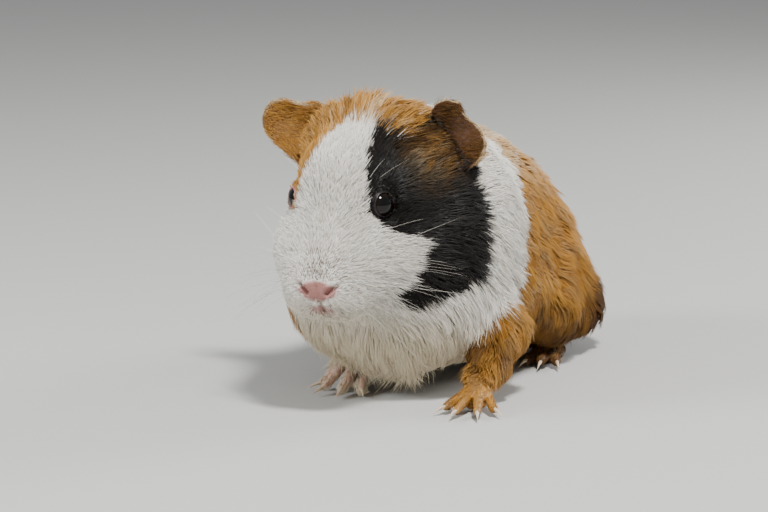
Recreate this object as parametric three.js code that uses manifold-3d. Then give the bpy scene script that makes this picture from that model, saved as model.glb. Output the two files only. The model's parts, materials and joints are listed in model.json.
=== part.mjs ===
// A guinea pig, life size, as one still model divided into its named parts.
//
// Frame, in millimetres: +Z is up, the animal faces -Y, and its left side is +X.
// It stands on Z = 0, and the origin is at the middle of the whole model's footprint.
//
// The trunk, neck and head are one smooth blend of ellipsoids and bars, meshed for each part
// at a cell size that suits it and divided by thin cuts. Each leg and foot is a smaller blend
// set in a room cut for it in the trunk. Each eye, ear and claw is a shape of its own.

import * as THREE from "three";
import { mergeVertices } from "three/addons/utils/BufferGeometryUtils.js";
import Module from "manifold-3d";

const wasm = await Module();
wasm.setup();

// ---------------------------------------------------------------- driving sizes

const GAP = 0.3; // between neighbouring parts
const CELL = { trunk: 13, neck: 11, head: 4.15, leg: 7, foot: 3 };
const BLEND = { trunk: 14, head: 6, neck: 10, limb: 5, paw: 1.6 };

// The trunk's masses: where each is centred, and its half width, half length and half height.
const TRUNK = [
  { at: [-8, 98, 39], half: [32, 34, 33] }, // rump
  { at: [-5, 96, 29], half: [36.5, 33, 22] }, // hips
  { at: [17, 100, 16], half: [20, 25, 14] }, // left haunch
  { at: [-28, 100, 16], half: [20, 25, 14] }, // right haunch
  { at: [-4, 62, 47], half: [34, 44, 39] }, // loin
  { at: [-3, 52, 30], half: [37, 44, 25] }, // belly
  { at: [0, 29, 52], half: [37, 32, 39] }, // shoulders
  { at: [-5, 13, 33], half: [36, 22, 23] }, // chest
  { at: [-2, 15, 63], half: [33, 24, 32] }, // ruff
];

// The head's own frame starts midway between the eyes.
const HEAD = { at: [-7, -15, 68], yaw: 4, roll: 1 };
const CRANIUM = { at: [0, 15, 5], half: [19, 24, 20] };
const CROWN = { at: [0, 24, 18], half: [21.5, 14, 12.5] };
const BRIDGE = { from: [0, -9.5, -20.5], to: [0, 5, 8], thick: [9.5, 12.5] };
const MUZZLE = { at: [0.5, -7.5, -25.5], half: [14, 12.5, 10.5] };
const LIP = { at: [7, -9.5, -28], half: [8, 8.5, 8] };
const CHEEK = { at: [12, 9, -17], half: [13.5, 20.5, 17.5] };
const JAW = { at: [0, 9, -26], half: [16, 19, 13] };
const ORBIT = { at: [10, 0.5, 0], half: [4, 7, 6.4] };
const EYE = { at: [13.1, -0.5, 0.4], radius: 4.7 };

// An ear is a thin cupped petal that stands out sideways from the side of the crown. Its rim
// reaches this far from the ear's middle at steps of 45 degrees: outwards, up, inwards, down.
const EARS = {
  ear_left: { side: 1, at: [30, 22.5, 18.5], reach: [13, 11.6, 14.5, 14, 12, 13, 14, 12], notch: 0.16 },
  ear_right: { side: -1, at: [25.5, 30, 17], reach: [14, 15.4, 9.6, 13, 12, 13, 12, 9], notch: 0 },
};
const EAR = { thick: 2.6, cup: 3.5, sweep: 14, lean: 6, notchAt: 56, notchSpread: 13 };

// Legs and feet. A limb runs from its root in the trunk by its bend to its wrist, and its
// foot lies flat round its palm and points its own way, in degrees towards the animal's left.
const FOREPAW = { half: [5.8, 6.4, 4.4], toes: [-40, -13, 14, 42], reach: 15, thick: 2.1, claw: 5 };
const HINDPAW = { half: [5.6, 10, 4.2], toes: [-18, 0, 18], reach: 17, thick: 2.3, claw: 6 };
const FORELEG = { paw: FOREPAW, thick: [11, 9, 5.8] };
const HINDLEG = { paw: HINDPAW, thick: [15, 11.5, 6] };
const FEET = {
  forefoot_left: {
    ...FORELEG,
    side: 1,
    root: [20, 28, 34],
    bend: [33, 25, 22],
    wrist: [31, 10, 11],
    palm: [32.5, 3, 3.7],
    heading: 11,
  },
  forefoot_right: {
    ...FORELEG,
    side: -1,
    root: [-25, 27, 34],
    bend: [-33, 25, 22],
    wrist: [-17, 23, 11],
    palm: [-16, 15.6, 3.7],
    heading: -8,
  },
  hindfoot_left: {
    ...HINDLEG,
    side: 1,
    root: [13, 97, 33],
    bend: [26, 78, 20],
    wrist: [23, 103, 10],
    palm: [25, 87, 3.4],
    heading: 10,
  },
  hindfoot_right: {
    ...HINDLEG,
    side: -1,
    root: [-29, 99, 33],
    bend: [-40, 79, 20],
    wrist: [-37, 105, 10],
    palm: [-39, 89, 3.4],
    heading: -10,
  },
};

// ---------------------------------------------------------------- small helpers

const vec = (a) => new THREE.Vector3(...a);
const rad = THREE.MathUtils.degToRad;
const mirrored = ([x, y, z], side) => [x * side, y, z];
const lerp = THREE.MathUtils.lerp;

const headPose = new THREE.Matrix4()
  .makeRotationFromEuler(new THREE.Euler(0, rad(HEAD.roll), rad(HEAD.yaw)))
  .setPosition(...HEAD.at);
const toHead = headPose.clone().invert();
const inHead = (at) => vec(at).applyMatrix4(headPose);

// ---------------------------------------------------------------- blended forms
// A form is a function from a point to roughly how far outside the surface it lies.

function ellipsoid({ at, half: [a, b, c] }) {
  const centre = vec(at);
  const q = new THREE.Vector3();
  return (p) => {
    q.copy(p).sub(centre);
    const near = Math.hypot(q.x / a, q.y / b, q.z / c);
    const steep = Math.hypot(q.x / a ** 2, q.y / b ** 2, q.z / c ** 2);
    return steep > 0 ? (near * (near - 1)) / steep : -Math.min(a, b, c);
  };
}

function bar(from, to, thickFrom, thickTo) {
  const start = vec(from);
  const along = vec(to).sub(start);
  const q = new THREE.Vector3();
  return (p) => {
    q.copy(p).sub(start);
    const t = THREE.MathUtils.clamp(q.dot(along) / along.lengthSq(), 0, 1);
    return q.addScaledVector(along, -t).length() - lerp(thickFrom, thickTo, t);
  };
}

function blend(forms, k) {
  const join = (a, b) => Math.min(a, b) - Math.max(k - Math.abs(a - b), 0) ** 2 / (4 * k);
  return (p) => forms.map((form) => form(p)).reduce(join);
}

function moved(form, matrix) {
  const q = new THREE.Vector3();
  return (p) => form(q.copy(p).applyMatrix4(matrix));
}

const bothSides = ({ at, half }) => [1, -1].map((side) => ellipsoid({ at: mirrored(at, side), half }));

// ---------------------------------------------------------------- the body's blend

const trunkForm = blend(TRUNK.map(ellipsoid), BLEND.trunk);

const headForm = blend(
  [
    ellipsoid(CRANIUM),
    ellipsoid(CROWN),
    bar(BRIDGE.from, BRIDGE.to, ...BRIDGE.thick),
    ellipsoid(MUZZLE),
    ...bothSides(LIP),
    ...bothSides(CHEEK),
    ellipsoid(JAW),
    ...bothSides(ORBIT),
  ],
  BLEND.head,
);
const bodyForm = blend([trunkForm, moved(headForm, toHead)], BLEND.neck);

const legForms = ({ root, bend, wrist, thick }) => [
  bar(root, bend, thick[0], thick[1]),
  bar(bend, wrist, thick[1], thick[2]),
];

// A toe's direction seen from above, and the points where it starts and ends.
function toes({ side, paw, palm, heading }) {
  return paw.toes.map((spread) => {
    const turn = rad(heading + spread * side);
    const out = new THREE.Vector3(Math.sin(turn), -Math.cos(turn), 0);
    const start = vec(palm).addScaledVector(out, paw.half[0] * 0.5);
    const shorter = 1 - 0.2 * Math.abs(spread / 40) ** 2;
    const end = vec(palm).addScaledVector(out, paw.reach * shorter);
    return { turn, start: start.setZ(paw.half[2] * 1.1), end: end.setZ(paw.thick * 0.85) };
  });
}

function pawForm(foot) {
  const { paw, palm, heading } = foot;
  const turn = new THREE.Matrix4().makeRotationZ(rad(heading)).setPosition(...palm).invert();
  const pad = moved(ellipsoid({ at: [0, 0, 0], half: paw.half }), turn);
  const digits = toes(foot).map(({ start, end }) =>
    bar(start.toArray(), end.toArray(), paw.thick * 1.15, paw.thick),
  );
  return blend([pad, ...digits], BLEND.paw);
}

const limbForm = (foot) => blend([...legForms(foot), pawForm(foot)], BLEND.limb);

// ---------------------------------------------------------------- meshing
// Surface nets: one vertex in each cell that the surface crosses, drawn onto the surface.

function meshed(form, { low, high }, cell) {
  const count = high.map((h, i) => Math.ceil((h - low[i]) / cell) + 1);
  const id = (i, j, k) => (i * count[1] + j) * count[2] + k;
  const point = (i, j, k) => vec([low[0] + i * cell, low[1] + j * cell, low[2] + k * cell]);
  const depth = new Float64Array(count[0] * count[1] * count[2]);
  const each = (from, to, visit) => {
    for (let i = from; i < count[0] - to; i++)
      for (let j = from; j < count[1] - to; j++)
        for (let k = from; k < count[2] - to; k++) visit(i, j, k);
  };
  each(0, 0, (i, j, k) => {
    const edge = [i, j, k].some((n, axis) => n === 0 || n === count[axis] - 1);
    const d = form(point(i, j, k));
    depth[id(i, j, k)] = edge ? Math.max(d, cell / 2) : d;
  });

  const corners = [0, 1, 2, 3, 4, 5, 6, 7].map((n) => [n & 1, (n >> 1) & 1, n >> 2]);
  const positions = [];
  const vertexOf = new Map();
  each(0, 1, (i, j, k) => {
    const here = corners.map(([a, b, c]) => depth[id(i + a, j + b, k + c)]);
    const middle = new THREE.Vector3();
    let crossings = 0;
    corners.forEach((from, m) => {
      for (const bit of [1, 2, 4]) {
        const n = m | bit;
        if (n === m || here[m] < 0 === here[n] < 0) continue;
        const t = here[m] / (here[m] - here[n]);
        middle.add(vec(from).lerp(vec(corners[n]), t));
        crossings++;
      }
    });
    if (!crossings) return;
    middle.divideScalar(crossings).multiplyScalar(cell).add(point(i, j, k));
    vertexOf.set(id(i, j, k), positions.length / 3);
    positions.push(...onSurface(form, middle, cell / 2).toArray());
  });

  const triangles = [];
  const quad = (a, b, c, d, flip) => {
    const [p, q, r, s] = [a, b, c, d].map((n) => vec(positions.slice(3 * n, 3 * n + 3)));
    const order = p.distanceTo(r) < q.distanceTo(s) ? [a, b, c, a, c, d] : [b, c, d, b, d, a];
    triangles.push(...(flip ? order.reverse() : order));
  };
  each(0, 1, (i, j, k) => {
    const inside = depth[id(i, j, k)] < 0;
    const at = (a, b, c) => vertexOf.get(id(i - a, j - b, k - c));
    if (j && k && inside !== depth[id(i + 1, j, k)] < 0)
      quad(at(0, 1, 1), at(0, 0, 1), at(0, 0, 0), at(0, 1, 0), !inside);
    if (i && k && inside !== depth[id(i, j + 1, k)] < 0)
      quad(at(1, 0, 1), at(0, 0, 1), at(0, 0, 0), at(1, 0, 0), inside);
    if (i && j && inside !== depth[id(i, j, k + 1)] < 0)
      quad(at(1, 1, 0), at(0, 1, 0), at(0, 0, 0), at(1, 0, 0), !inside);
  });
  const geometry = new THREE.BufferGeometry();
  geometry.setAttribute("position", new THREE.Float32BufferAttribute(positions, 3));
  return geometry.setIndex(triangles);
}

// Steps a point along the form's slope until it lies on the surface, at most `limit` away.
function onSurface(form, start, limit) {
  const h = 0.05;
  const p = start.clone();
  const slope = new THREE.Vector3();
  for (let step = 0; step < 4; step++) {
    const d = form(p);
    ["x", "y", "z"].forEach((axis) => {
      const q = p.clone();
      q[axis] += h;
      slope[axis] = (form(q) - d) / h;
    });
    p.addScaledVector(slope, -d / Math.max(slope.lengthSq(), 0.1));
  }
  return p.distanceTo(start) > limit ? start : p;
}

// ---------------------------------------------------------------- solids

function solid(geometry, matrix = new THREE.Matrix4()) {
  const bare = new THREE.BufferGeometry();
  bare.setAttribute("position", geometry.getAttribute("position").clone());
  bare.setIndex(geometry.index);
  bare.applyMatrix4(matrix);
  const merged = mergeVertices(bare, 1e-4);
  const made = new wasm.Mesh({
    numProp: 3,
    vertProperties: merged.getAttribute("position").array,
    triVerts: new Uint32Array(merged.index.array),
  });
  return new wasm.Manifold(made);
}

function geometryOf(manifold) {
  const { vertProperties, triVerts } = manifold.getMesh();
  const geometry = new THREE.BufferGeometry();
  geometry.setAttribute("position", new THREE.Float32BufferAttribute(vertProperties, 3));
  geometry.setIndex(new THREE.Uint32BufferAttribute(triVerts, 1));
  geometry.computeVertexNormals();
  return geometry;
}

const boxOf = (at, half) => ({
  low: at.map((c, i) => c - half[i]),
  high: at.map((c, i) => c + half[i]),
});

// Cutters: a ball stretched to given half sizes, and everything on one side of a plane.
function ballCutter(at, half, grow = 0) {
  const size = half.map((h) => h + grow);
  return solid(
    new THREE.SphereGeometry(1, 20, 13),
    new THREE.Matrix4().makeScale(...size).setPosition(...at),
  );
}

const FAR = 400;
function sideCutter(point, normal, shift = 0) {
  const n = vec(normal).normalize();
  const pose = new THREE.Matrix4().makeRotationFromQuaternion(
    new THREE.Quaternion().setFromUnitVectors(new THREE.Vector3(0, 0, 1), n),
  );
  pose.setPosition(vec(point).addScaledVector(n, FAR / 2 + shift));
  return solid(new THREE.BoxGeometry(FAR, FAR, FAR), pose);
}

const floor = sideCutter([0, 0, 0], [0, 0, 1]);

// ---------------------------------------------------------------- head, neck and trunk

const HEAD_CUT = { at: [0, -13, 3], half: [62, 42, 43] }; // a ball round the head, in its own frame
const NECK_CUT = { point: [0, 36, 60], normal: [0, -1, 0.32] }; // the neck lies in front of it

const headCentre = inHead(HEAD_CUT.at).toArray();
const headCutter = (grow) => ballCutter(headCentre, HEAD_CUT.half, grow);
const neckCutter = (shift) => sideCutter(NECK_CUT.point, NECK_CUT.normal, shift);
const biggest = (made) => made.decompose().sort((a, b) => b.volume() - a.volume())[0];

// A form's mesh, kept inside some cutters and outside others.
function piece(form, box, cell, keep, remove) {
  let made = solid(meshed(form, box, cell)).intersect(floor);
  for (const cutter of keep) made = made.intersect(cutter);
  for (const cutter of remove) made = made.subtract(cutter);
  return biggest(made);
}

const limbBox = ({ palm, root, thick }) => {
  const top = root[2] + thick[0] + 2;
  return boxOf([(palm[0] + root[0]) / 2, palm[1] + 8, top / 2], [36, 42, top / 2 + 3]);
};
const below = (z) => sideCutter([0, 0, z], [0, 0, -1]);
const above = (z) => sideCutter([0, 0, z], [0, 0, 1]);

// Room for a limb, with its gap: coarse round the leg, and fine round the foot.
function limbRooms(foot) {
  const form = limbForm(foot);
  const room = (gap, cell) => solid(meshed((p) => form(p) - gap, limbBox(foot), cell));
  return [room(4 * GAP, CELL.leg), room(2 * GAP, CELL.foot).intersect(below(foot.wrist[2] + 3))];
}

const globes = [1, -1].map((side) => ({
  name: side > 0 ? "eye_left" : "eye_right",
  at: inHead(mirrored(EYE.at, side)),
}));
const globe = (at, grow) =>
  solid(
    new THREE.SphereGeometry(EYE.radius + grow, 12, 8),
    new THREE.Matrix4().makeTranslation(...at.toArray()),
  );

const wholeBox = { low: [-60, -60, -3], high: [60, 150, 112] };
const headBox = boxOf(headCentre, [48, 60, 52]);
const sockets = globes.map(({ at }) => globe(at, GAP));
const rooms = Object.values(FEET).flatMap(limbRooms);
const made = {
  head: piece(bodyForm, headBox, CELL.head, [headCutter(0)], sockets),
  neck: piece(bodyForm, wholeBox, CELL.neck, [neckCutter(0)], [headCutter(GAP), ...rooms]),
  trunk: piece(bodyForm, wholeBox, CELL.trunk, [], [neckCutter(-GAP), headCutter(GAP), ...rooms]),
};
for (const { name, at } of globes) made[name] = globe(at, 0);

// ---------------------------------------------------------------- claws

// A cone that bends down towards its tip, along -Y from its root.
function clawShape(length, grow) {
  const thick = 1 + grow;
  const profile = [
    [0, 0],
    [thick, 0],
    [thick * 0.85, length * 0.4],
    [thick * 0.5, length * 0.75],
    [0, length + grow],
  ].map(([r, along]) => new THREE.Vector2(r, along));
  const cone = new THREE.LatheGeometry(profile, 6);
  const droop = 1.1 / length ** 2;
  const place = cone.getAttribute("position");
  for (let i = 0; i < place.count; i++) {
    const along = place.getY(i);
    place.setXYZ(i, place.getX(i), -along, place.getZ(i) - droop * along ** 2);
  }
  cone.setIndex(Array.from(cone.index.array).reverse());
  return cone;
}

function clawPose({ turn, end }, { thick }) {
  const root = end.clone();
  root.addScaledVector(new THREE.Vector3(Math.sin(turn), -Math.cos(turn), 0), thick * 0.2);
  return new THREE.Matrix4().makeRotationZ(turn).setPosition(root.x, root.y, thick * 0.95);
}

for (const [name, foot] of Object.entries(FEET)) {
  const { paw, wrist } = foot;
  const form = limbForm(foot);
  const claws = toes(foot).map((toe) => clawPose(toe, paw));
  claws.forEach((pose, i) => {
    made[`${name.replace("foot", "claw")}_${i + 1}`] = solid(clawShape(paw.claw, 0), pose);
  });
  const clawRooms = claws.map((pose) => solid(clawShape(paw.claw, GAP), pose));
  made[name] = piece(form, limbBox(foot), CELL.foot, [below(wrist[2] - GAP)], clawRooms);
  made[name.replace("foot", "leg")] = piece(form, limbBox(foot), CELL.leg, [above(wrist[2])], []);
}

// ---------------------------------------------------------------- ears

// How far the rim reaches at an angle in degrees, by a smooth curve through its eight steps.
function rimReach({ reach, notch }, angle) {
  const step = (((angle / 45) % 8) + 8) % 8;
  const [a, b, c, d] = [-1, 0, 1, 2].map((n) => reach[(Math.floor(step) + n + 8) % 8]);
  const t = step % 1;
  const smooth = b + 0.5 * t * (c - a + t * (2 * a - 5 * b + 4 * c - d + t * (3 * (b - c) + d - a)));
  return smooth * (1 - notch * Math.exp(-(((angle - EAR.notchAt) / EAR.notchSpread) ** 2)));
}

function earShape(ear) {
  const petal = new THREE.SphereGeometry(1, 18, 7);
  petal.rotateX(Math.PI / 2);
  const place = petal.getAttribute("position");
  for (let i = 0; i < place.count; i++) {
    const [x, y, z] = [place.getX(i), place.getY(i), place.getZ(i)];
    const rim = rimReach(ear, THREE.MathUtils.radToDeg(Math.atan2(y, x)));
    const thick = EAR.thick * (0.7 - 0.3 * x);
    place.setXYZ(i, x * rim, y * rim, z * thick * 0.5 + EAR.cup * y ** 2);
  }
  return petal;
}

// In its own frame an ear lies flat, facing +Z; it is stood up to face forward.
function earPose({ side, at }) {
  const turned = new THREE.Euler(Math.PI / 2 - rad(EAR.lean), 0, -rad(EAR.sweep) * side, "ZYX");
  const pose = new THREE.Matrix4().makeRotationFromEuler(turned);
  pose.multiply(new THREE.Matrix4().makeScale(side, 1, 1));
  return headPose.clone().multiply(pose.setPosition(...mirrored(at, side)));
}

const headRoom = solid(meshed((p) => bodyForm(p) - 2 * GAP, headBox, CELL.head));
for (const [name, ear] of Object.entries(EARS)) {
  const shape = earShape(ear);
  if (ear.side < 0) shape.setIndex(Array.from(shape.index.array).reverse());
  made[name] = biggest(solid(shape, earPose(ear)).subtract(headRoom));
}

// ---------------------------------------------------------------- the model

const finish = (color, roughness) => new THREE.MeshStandardMaterial({ color, roughness, metalness: 0 });
const FINISHES = {
  coat_white: finish(0xe6e3d8, 0.8),
  coat_ginger: finish(0xb5793a, 0.8),
  bare_skin: finish(0xc98f7e, 0.6),
  ear_skin: finish(0x6e4427, 0.6),
  claw_horn: finish(0xcdbb9c, 0.4),
  eye_black: finish(0x0a0908, 0.05),
};
const WORN = [
  [/^eye/, "eye_black"],
  [/claw/, "claw_horn"],
  [/^ear/, "ear_skin"],
  [/^(head|neck)/, "coat_white"],
  [/forefoot_right/, "bare_skin"],
  [/./, "coat_ginger"],
];

const guineaPig = new THREE.Group();
for (const [name, shape] of Object.entries(made)) {
  const worn = WORN.find(([pattern]) => pattern.test(name))[1];
  const mesh = new THREE.Mesh(geometryOf(shape), FINISHES[worn]);
  mesh.name = name;
  guineaPig.add(mesh);
}

const footprint = new THREE.Box3().setFromObject(guineaPig).getCenter(new THREE.Vector3());
guineaPig.position.set(-footprint.x, -footprint.y, 0);

export default guineaPig;
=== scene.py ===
# A guinea pig, life size, dressed over its plain solids: one skin, a coat of solid tufts that
# follows the lie of the fur, eyes, claws, whiskers, and a plain studio.
#
# Lengths are in millimetres until a mesh is made. "Row" places are in the model's own frame:
# X towards the animal's left, -Y ahead, Z up. "Head" places start midway between the eyes and
# go across to its left, ahead, and up.

import json
import math
import re

import bmesh
import bpy
import numpy as np
from mathutils import Matrix, Vector
from mathutils.bvhtree import BVHTree
from mathutils.kdtree import KDTree


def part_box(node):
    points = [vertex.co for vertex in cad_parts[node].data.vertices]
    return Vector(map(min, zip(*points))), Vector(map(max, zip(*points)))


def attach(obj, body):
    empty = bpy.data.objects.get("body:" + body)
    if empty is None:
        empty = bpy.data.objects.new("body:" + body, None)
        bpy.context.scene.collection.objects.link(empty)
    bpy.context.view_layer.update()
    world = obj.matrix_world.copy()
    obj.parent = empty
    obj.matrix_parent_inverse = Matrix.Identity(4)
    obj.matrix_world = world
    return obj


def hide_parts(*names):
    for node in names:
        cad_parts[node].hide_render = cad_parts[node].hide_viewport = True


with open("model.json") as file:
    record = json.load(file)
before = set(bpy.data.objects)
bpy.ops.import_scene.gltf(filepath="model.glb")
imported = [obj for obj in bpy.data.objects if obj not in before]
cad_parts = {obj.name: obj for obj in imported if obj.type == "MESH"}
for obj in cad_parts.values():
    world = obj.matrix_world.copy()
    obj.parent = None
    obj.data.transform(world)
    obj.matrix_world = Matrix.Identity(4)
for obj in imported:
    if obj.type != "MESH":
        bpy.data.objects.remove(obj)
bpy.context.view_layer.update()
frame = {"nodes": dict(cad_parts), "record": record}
MM = 0.001
random = np.random.default_rng(7)

# ---------------------------------------------------------------- driving sizes

VOXEL = {"body": 0.95, "ear": 0.42, "paw": 0.42}  # the skin's cells
SKIN_FACES = 185000  # what the finished skin may have
COARSE_FACES = 9000  # for the unwrap under the tufts
SWELL = 0.65  # closes the gaps between the solids before they are joined
SMOOTHING = 90  # rounds
RIPPLE_WAVES = 7
FULL_COAT = 146000  # tufts
COAT_TUFTS = FULL_COAT
PIECE_TUFTS = 19500  # at most, in one piece of the coat
BAKE_PATCH = 0.003  # how large a tuft is on the bake map

# ---------------------------------------------------------------- frames of reference


def middle(node):
    low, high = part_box(node)
    return (np.array(low) + np.array(high)) / 2 / MM


def unit(rows):
    rows = np.asarray(rows, float)
    return rows / np.maximum(np.linalg.norm(rows, axis=-1, keepdims=True), 1e-9)


SIDES = {1: "left", -1: "right"}
EYES = {half: middle(f"eye_{side}") for half, side in SIDES.items()}
EYE_RADIUS = np.ptp(np.array(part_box("eye_left")), axis=0).max() / 2 / MM
HEAD = (EYES[1] + EYES[-1]) / 2
across = unit(EYES[1] - EYES[-1])
ahead = unit(np.cross(across, [0, 0, 1]))
HEAD_AXES = np.array([across, ahead, np.cross(ahead, across)])


def to_head(row):
    return (row - HEAD) @ HEAD_AXES.T


def from_head(place):
    return HEAD + np.asarray(place, float) @ HEAD_AXES


def turn_from_head(direction):
    return np.asarray(direction, float) @ HEAD_AXES


# Where a paw's sole rests.
def sole_of(end, side):
    spots = {mount["name"]: mount["pos_m"] for mount in frame["record"]["mounts"]}
    return np.array(spots[f"sole_{end}_{side}"]) / MM


def claws_of(end, side):
    return [name for name in sorted(frame["nodes"]) if name.startswith(f"{end}claw_{side}")]


# Stands what runs along Z on a place, along a way.
def turned(place, way):
    turn = way.to_track_quat("Z", "Y").to_matrix().to_4x4()
    return Matrix.Translation(Vector(place * MM)) @ turn


# ---------------------------------------------------------------- mesh helpers


# A mesh's corners in millimetres, and its triangles.
def arrays(mesh):
    places = np.empty(len(mesh.vertices) * 3, np.float32)
    mesh.vertices.foreach_get("co", places)
    mesh.calc_loop_triangles()
    faces = np.empty(len(mesh.loop_triangles) * 3, np.int32)
    mesh.loop_triangles.foreach_get("vertices", faces)
    return places.reshape(-1, 3).astype(float) / MM, faces.reshape(-1, 3)


def mesh_of(name, places, faces):
    mesh = bpy.data.meshes.new(name)
    sides = faces.shape[1]
    mesh.vertices.add(len(places))
    mesh.vertices.foreach_set("co", (places * MM).astype(np.float32).ravel())
    mesh.loops.add(faces.size)
    mesh.loops.foreach_set("vertex_index", faces.astype(np.int32).ravel())
    mesh.polygons.add(len(faces))
    mesh.polygons.foreach_set("loop_start", np.arange(0, faces.size, sides, dtype=np.int32))
    mesh.update(calc_edges=True)
    return mesh


def piece(name, mesh, material, smooth=True):
    thing = bpy.data.objects.new(name, mesh)
    bpy.context.scene.collection.objects.link(thing)
    mesh.materials.clear()
    mesh.materials.append(material)
    mesh.polygons.foreach_set("use_smooth", [smooth] * len(mesh.polygons))
    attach(thing, "root")
    return thing


def from_bmesh(name, bm):
    mesh = bpy.data.meshes.new(name)
    bm.to_mesh(mesh)
    bm.free()
    return mesh


def add_attribute(mesh, name, values):
    layer = mesh.attributes.new(name, "FLOAT", "POINT")
    layer.data.foreach_set("value", np.asarray(values, np.float32))


def edges_of(mesh):
    pairs = np.empty(len(mesh.edges) * 2, np.int32)
    mesh.edges.foreach_get("vertices", pairs)
    return pairs.reshape(-1, 2)


def normals_of(places, faces):
    corners = places[faces]
    flat = np.cross(corners[:, 1] - corners[:, 0], corners[:, 2] - corners[:, 0])
    total = np.zeros_like(places)
    for corner in range(3):
        for axis in range(3):
            total[:, axis] += np.bincount(faces[:, corner], flat[:, axis], len(places))
    return unit(total)


# Each round draws a value towards the mean of its neighbours', by that vertex's own amount.
def relaxed(values, edges, rounds, amount):
    count = len(values)
    a, b = edges.T
    degree = np.maximum(np.bincount(a, minlength=count) + np.bincount(b, minlength=count), 1)
    values = values.reshape(count, -1).astype(float)
    amount = np.broadcast_to(np.asarray(amount, float).reshape(-1, 1), (count, 1))
    for _ in range(rounds):
        mean = np.empty_like(values)
        for axis in range(values.shape[1]):
            column = values[:, axis]
            mean[:, axis] = np.bincount(a, column[b], count) + np.bincount(b, column[a], count)
        values = values + amount * (mean / degree[:, None] - values)
    return values if values.shape[1] > 1 else values[:, 0]


def nearest(tree, places):
    found = [tree.find_nearest(Vector(place)) for place in places]
    spots = np.array([hit[0] for hit in found])
    normals = np.array([hit[1] for hit in found])
    faces = np.array([hit[2] for hit in found])
    return spots, normals, faces


def smoothstep(low, high, x):
    t = np.clip((x - low) / (high - low), 0, 1)
    return t * t * (3 - 2 * t)


# A soft bump of 1 at a centre, which fades over its half sizes.
def soft_spot(places, centre, half):
    return np.exp(-(((places - np.array(centre)) / half) ** 2).sum(1))


# A soft random field over space, between about -1 and 1, from a few turned waves.
def ripple(places, wavelength, seed):
    source = np.random.default_rng(seed)
    total = np.zeros(len(places))
    for _ in range(RIPPLE_WAVES):
        heading = unit(source.normal(size=3)) * (2 * math.pi / wavelength)
        heading = heading * source.uniform(0.7, 1.5)
        total += np.sin(places @ heading + source.uniform(0, 2 * math.pi))
    return total / (RIPPLE_WAVES / 2)


# ---------------------------------------------------------------- the lie of the coat
# Each guide: place, the way the hair points, its length, how deep the coat is, and how far
# the tips stand off instead of lying flat.

HEAD_GUIDES = [
    ((0, 21, -20), (0, -0.3, 1), 1.2, 0.25, 0.35),
    ((0, 20, -26), (0, -0.3, 1), 0.6, 0.05, 0.1),
    ((9, 16, -24), (0.8, -0.5, 0.1), 2.2, 0.6, 0.2),
    ((6, 17, -30), (0.7, -0.3, -0.6), 2.0, 0.5, 0.2),
    ((0, 10, -37), (0, -0.6, -0.8), 3.0, 1.0, 0.3),
    ((0, 14, -10), (0, -0.35, 0.93), 3.0, 0.8, 0.1),
    ((0, 3, 14), (0, -0.6, 0.8), 5.0, 1.4, 0.15),
    ((0, -18, 28), (0, -0.9, 0.3), 9.0, 2.4, 1.0),
    ((12, -22, 28), (0.75, -0.55, 0.3), 8.0, 2.2, 0.7),
    ((21, -14, 17), (0.85, -0.35, 0.25), 9.0, 1.4, 0.4),
    ((29, -17, 14), (0.9, -0.25, 0.3), 8.0, 1.0, 0.5),
    ((8, 10, -10), (0.5, -0.6, 0.5), 3.5, 0.9, 0.1),
    ((15, 5, -10), (0.5, -0.85, -0.1), 4.0, 1.2, 0.1),
    ((12, 0, 10), (0.3, -0.6, 0.7), 4.0, 1.2, 0.2),
    ((20, -10, 2), (0.3, -0.95, 0), 6.0, 1.8, 0.1),
    ((22, -20, 12), (0.4, -0.6, 0.6), 6.0, 1.5, 0.3),
    ((26, -8, -18), (0.45, -0.85, -0.15), 7.0, 2.2, 0.15),
    ((22, -5, -30), (0.4, -0.7, -0.55), 8.0, 2.5, 0.2),
    ((0, -10, -42), (0, -0.6, -0.8), 10.0, 3.0, 0.3),
]
BODY_GUIDES = [
    ((0, -30, 95), (0, 1, -0.2), 10.0, 3.2, 0.2),
    ((0, 0, 88), (0, 1, -0.1), 12.0, 3.5, 0.15),
    ((-3, 40, 85), (0, 1, -0.3), 13.0, 4.0, 0.15),
    ((-5, 70, 60), (0, 0.6, -0.8), 13.0, 4.0, 0.15),
    ((-5, 84, 35), (0, 0.1, -1), 12.0, 4.0, 0.2),
    ((34, -30, 55), (0.15, 0.7, -0.6), 10.0, 3.2, 0.15),
    ((30, -38, 30), (0.2, 0.3, -0.9), 12.0, 3.5, 0.25),
    ((0, -48, 22), (0, -0.1, -1), 13.0, 3.5, 0.35),
    ((9, -46, 10), (0.1, -0.2, -1), 12.0, 2.0, 1.2),
    ((38, -15, 40), (0.1, 0.75, -0.65), 11.0, 3.5, 0.15),
    ((38, 30, 40), (0.05, 0.8, -0.6), 13.0, 4.0, 0.15),
    ((38, 55, 25), (0.05, 0.55, -0.8), 12.0, 4.0, 0.2),
    ((10, 20, 4), (0, 1, 0), 7.0, 2.0, 0.1),
    ((42, -28, 22), (0.1, 0.3, -0.95), 8.0, 2.2, 0.25),
    ((36, 56, 8), (0.1, 0.3, -0.95), 10.0, 1.2, 0.3),
    ((0, 78, 10), (0, 0.3, -0.95), 10.0, 1.2, 0.3),
]


def corners_of(node):
    return arrays(frame["nodes"][node].data)[0]


# The middle of a leg's lowest face, where its paw begins.
def wrist_of(end, side):
    leg = corners_of(f"{end}leg_{side}")
    return leg[leg[:, 2] < leg[:, 2].min() + 0.5].mean(0)


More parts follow.
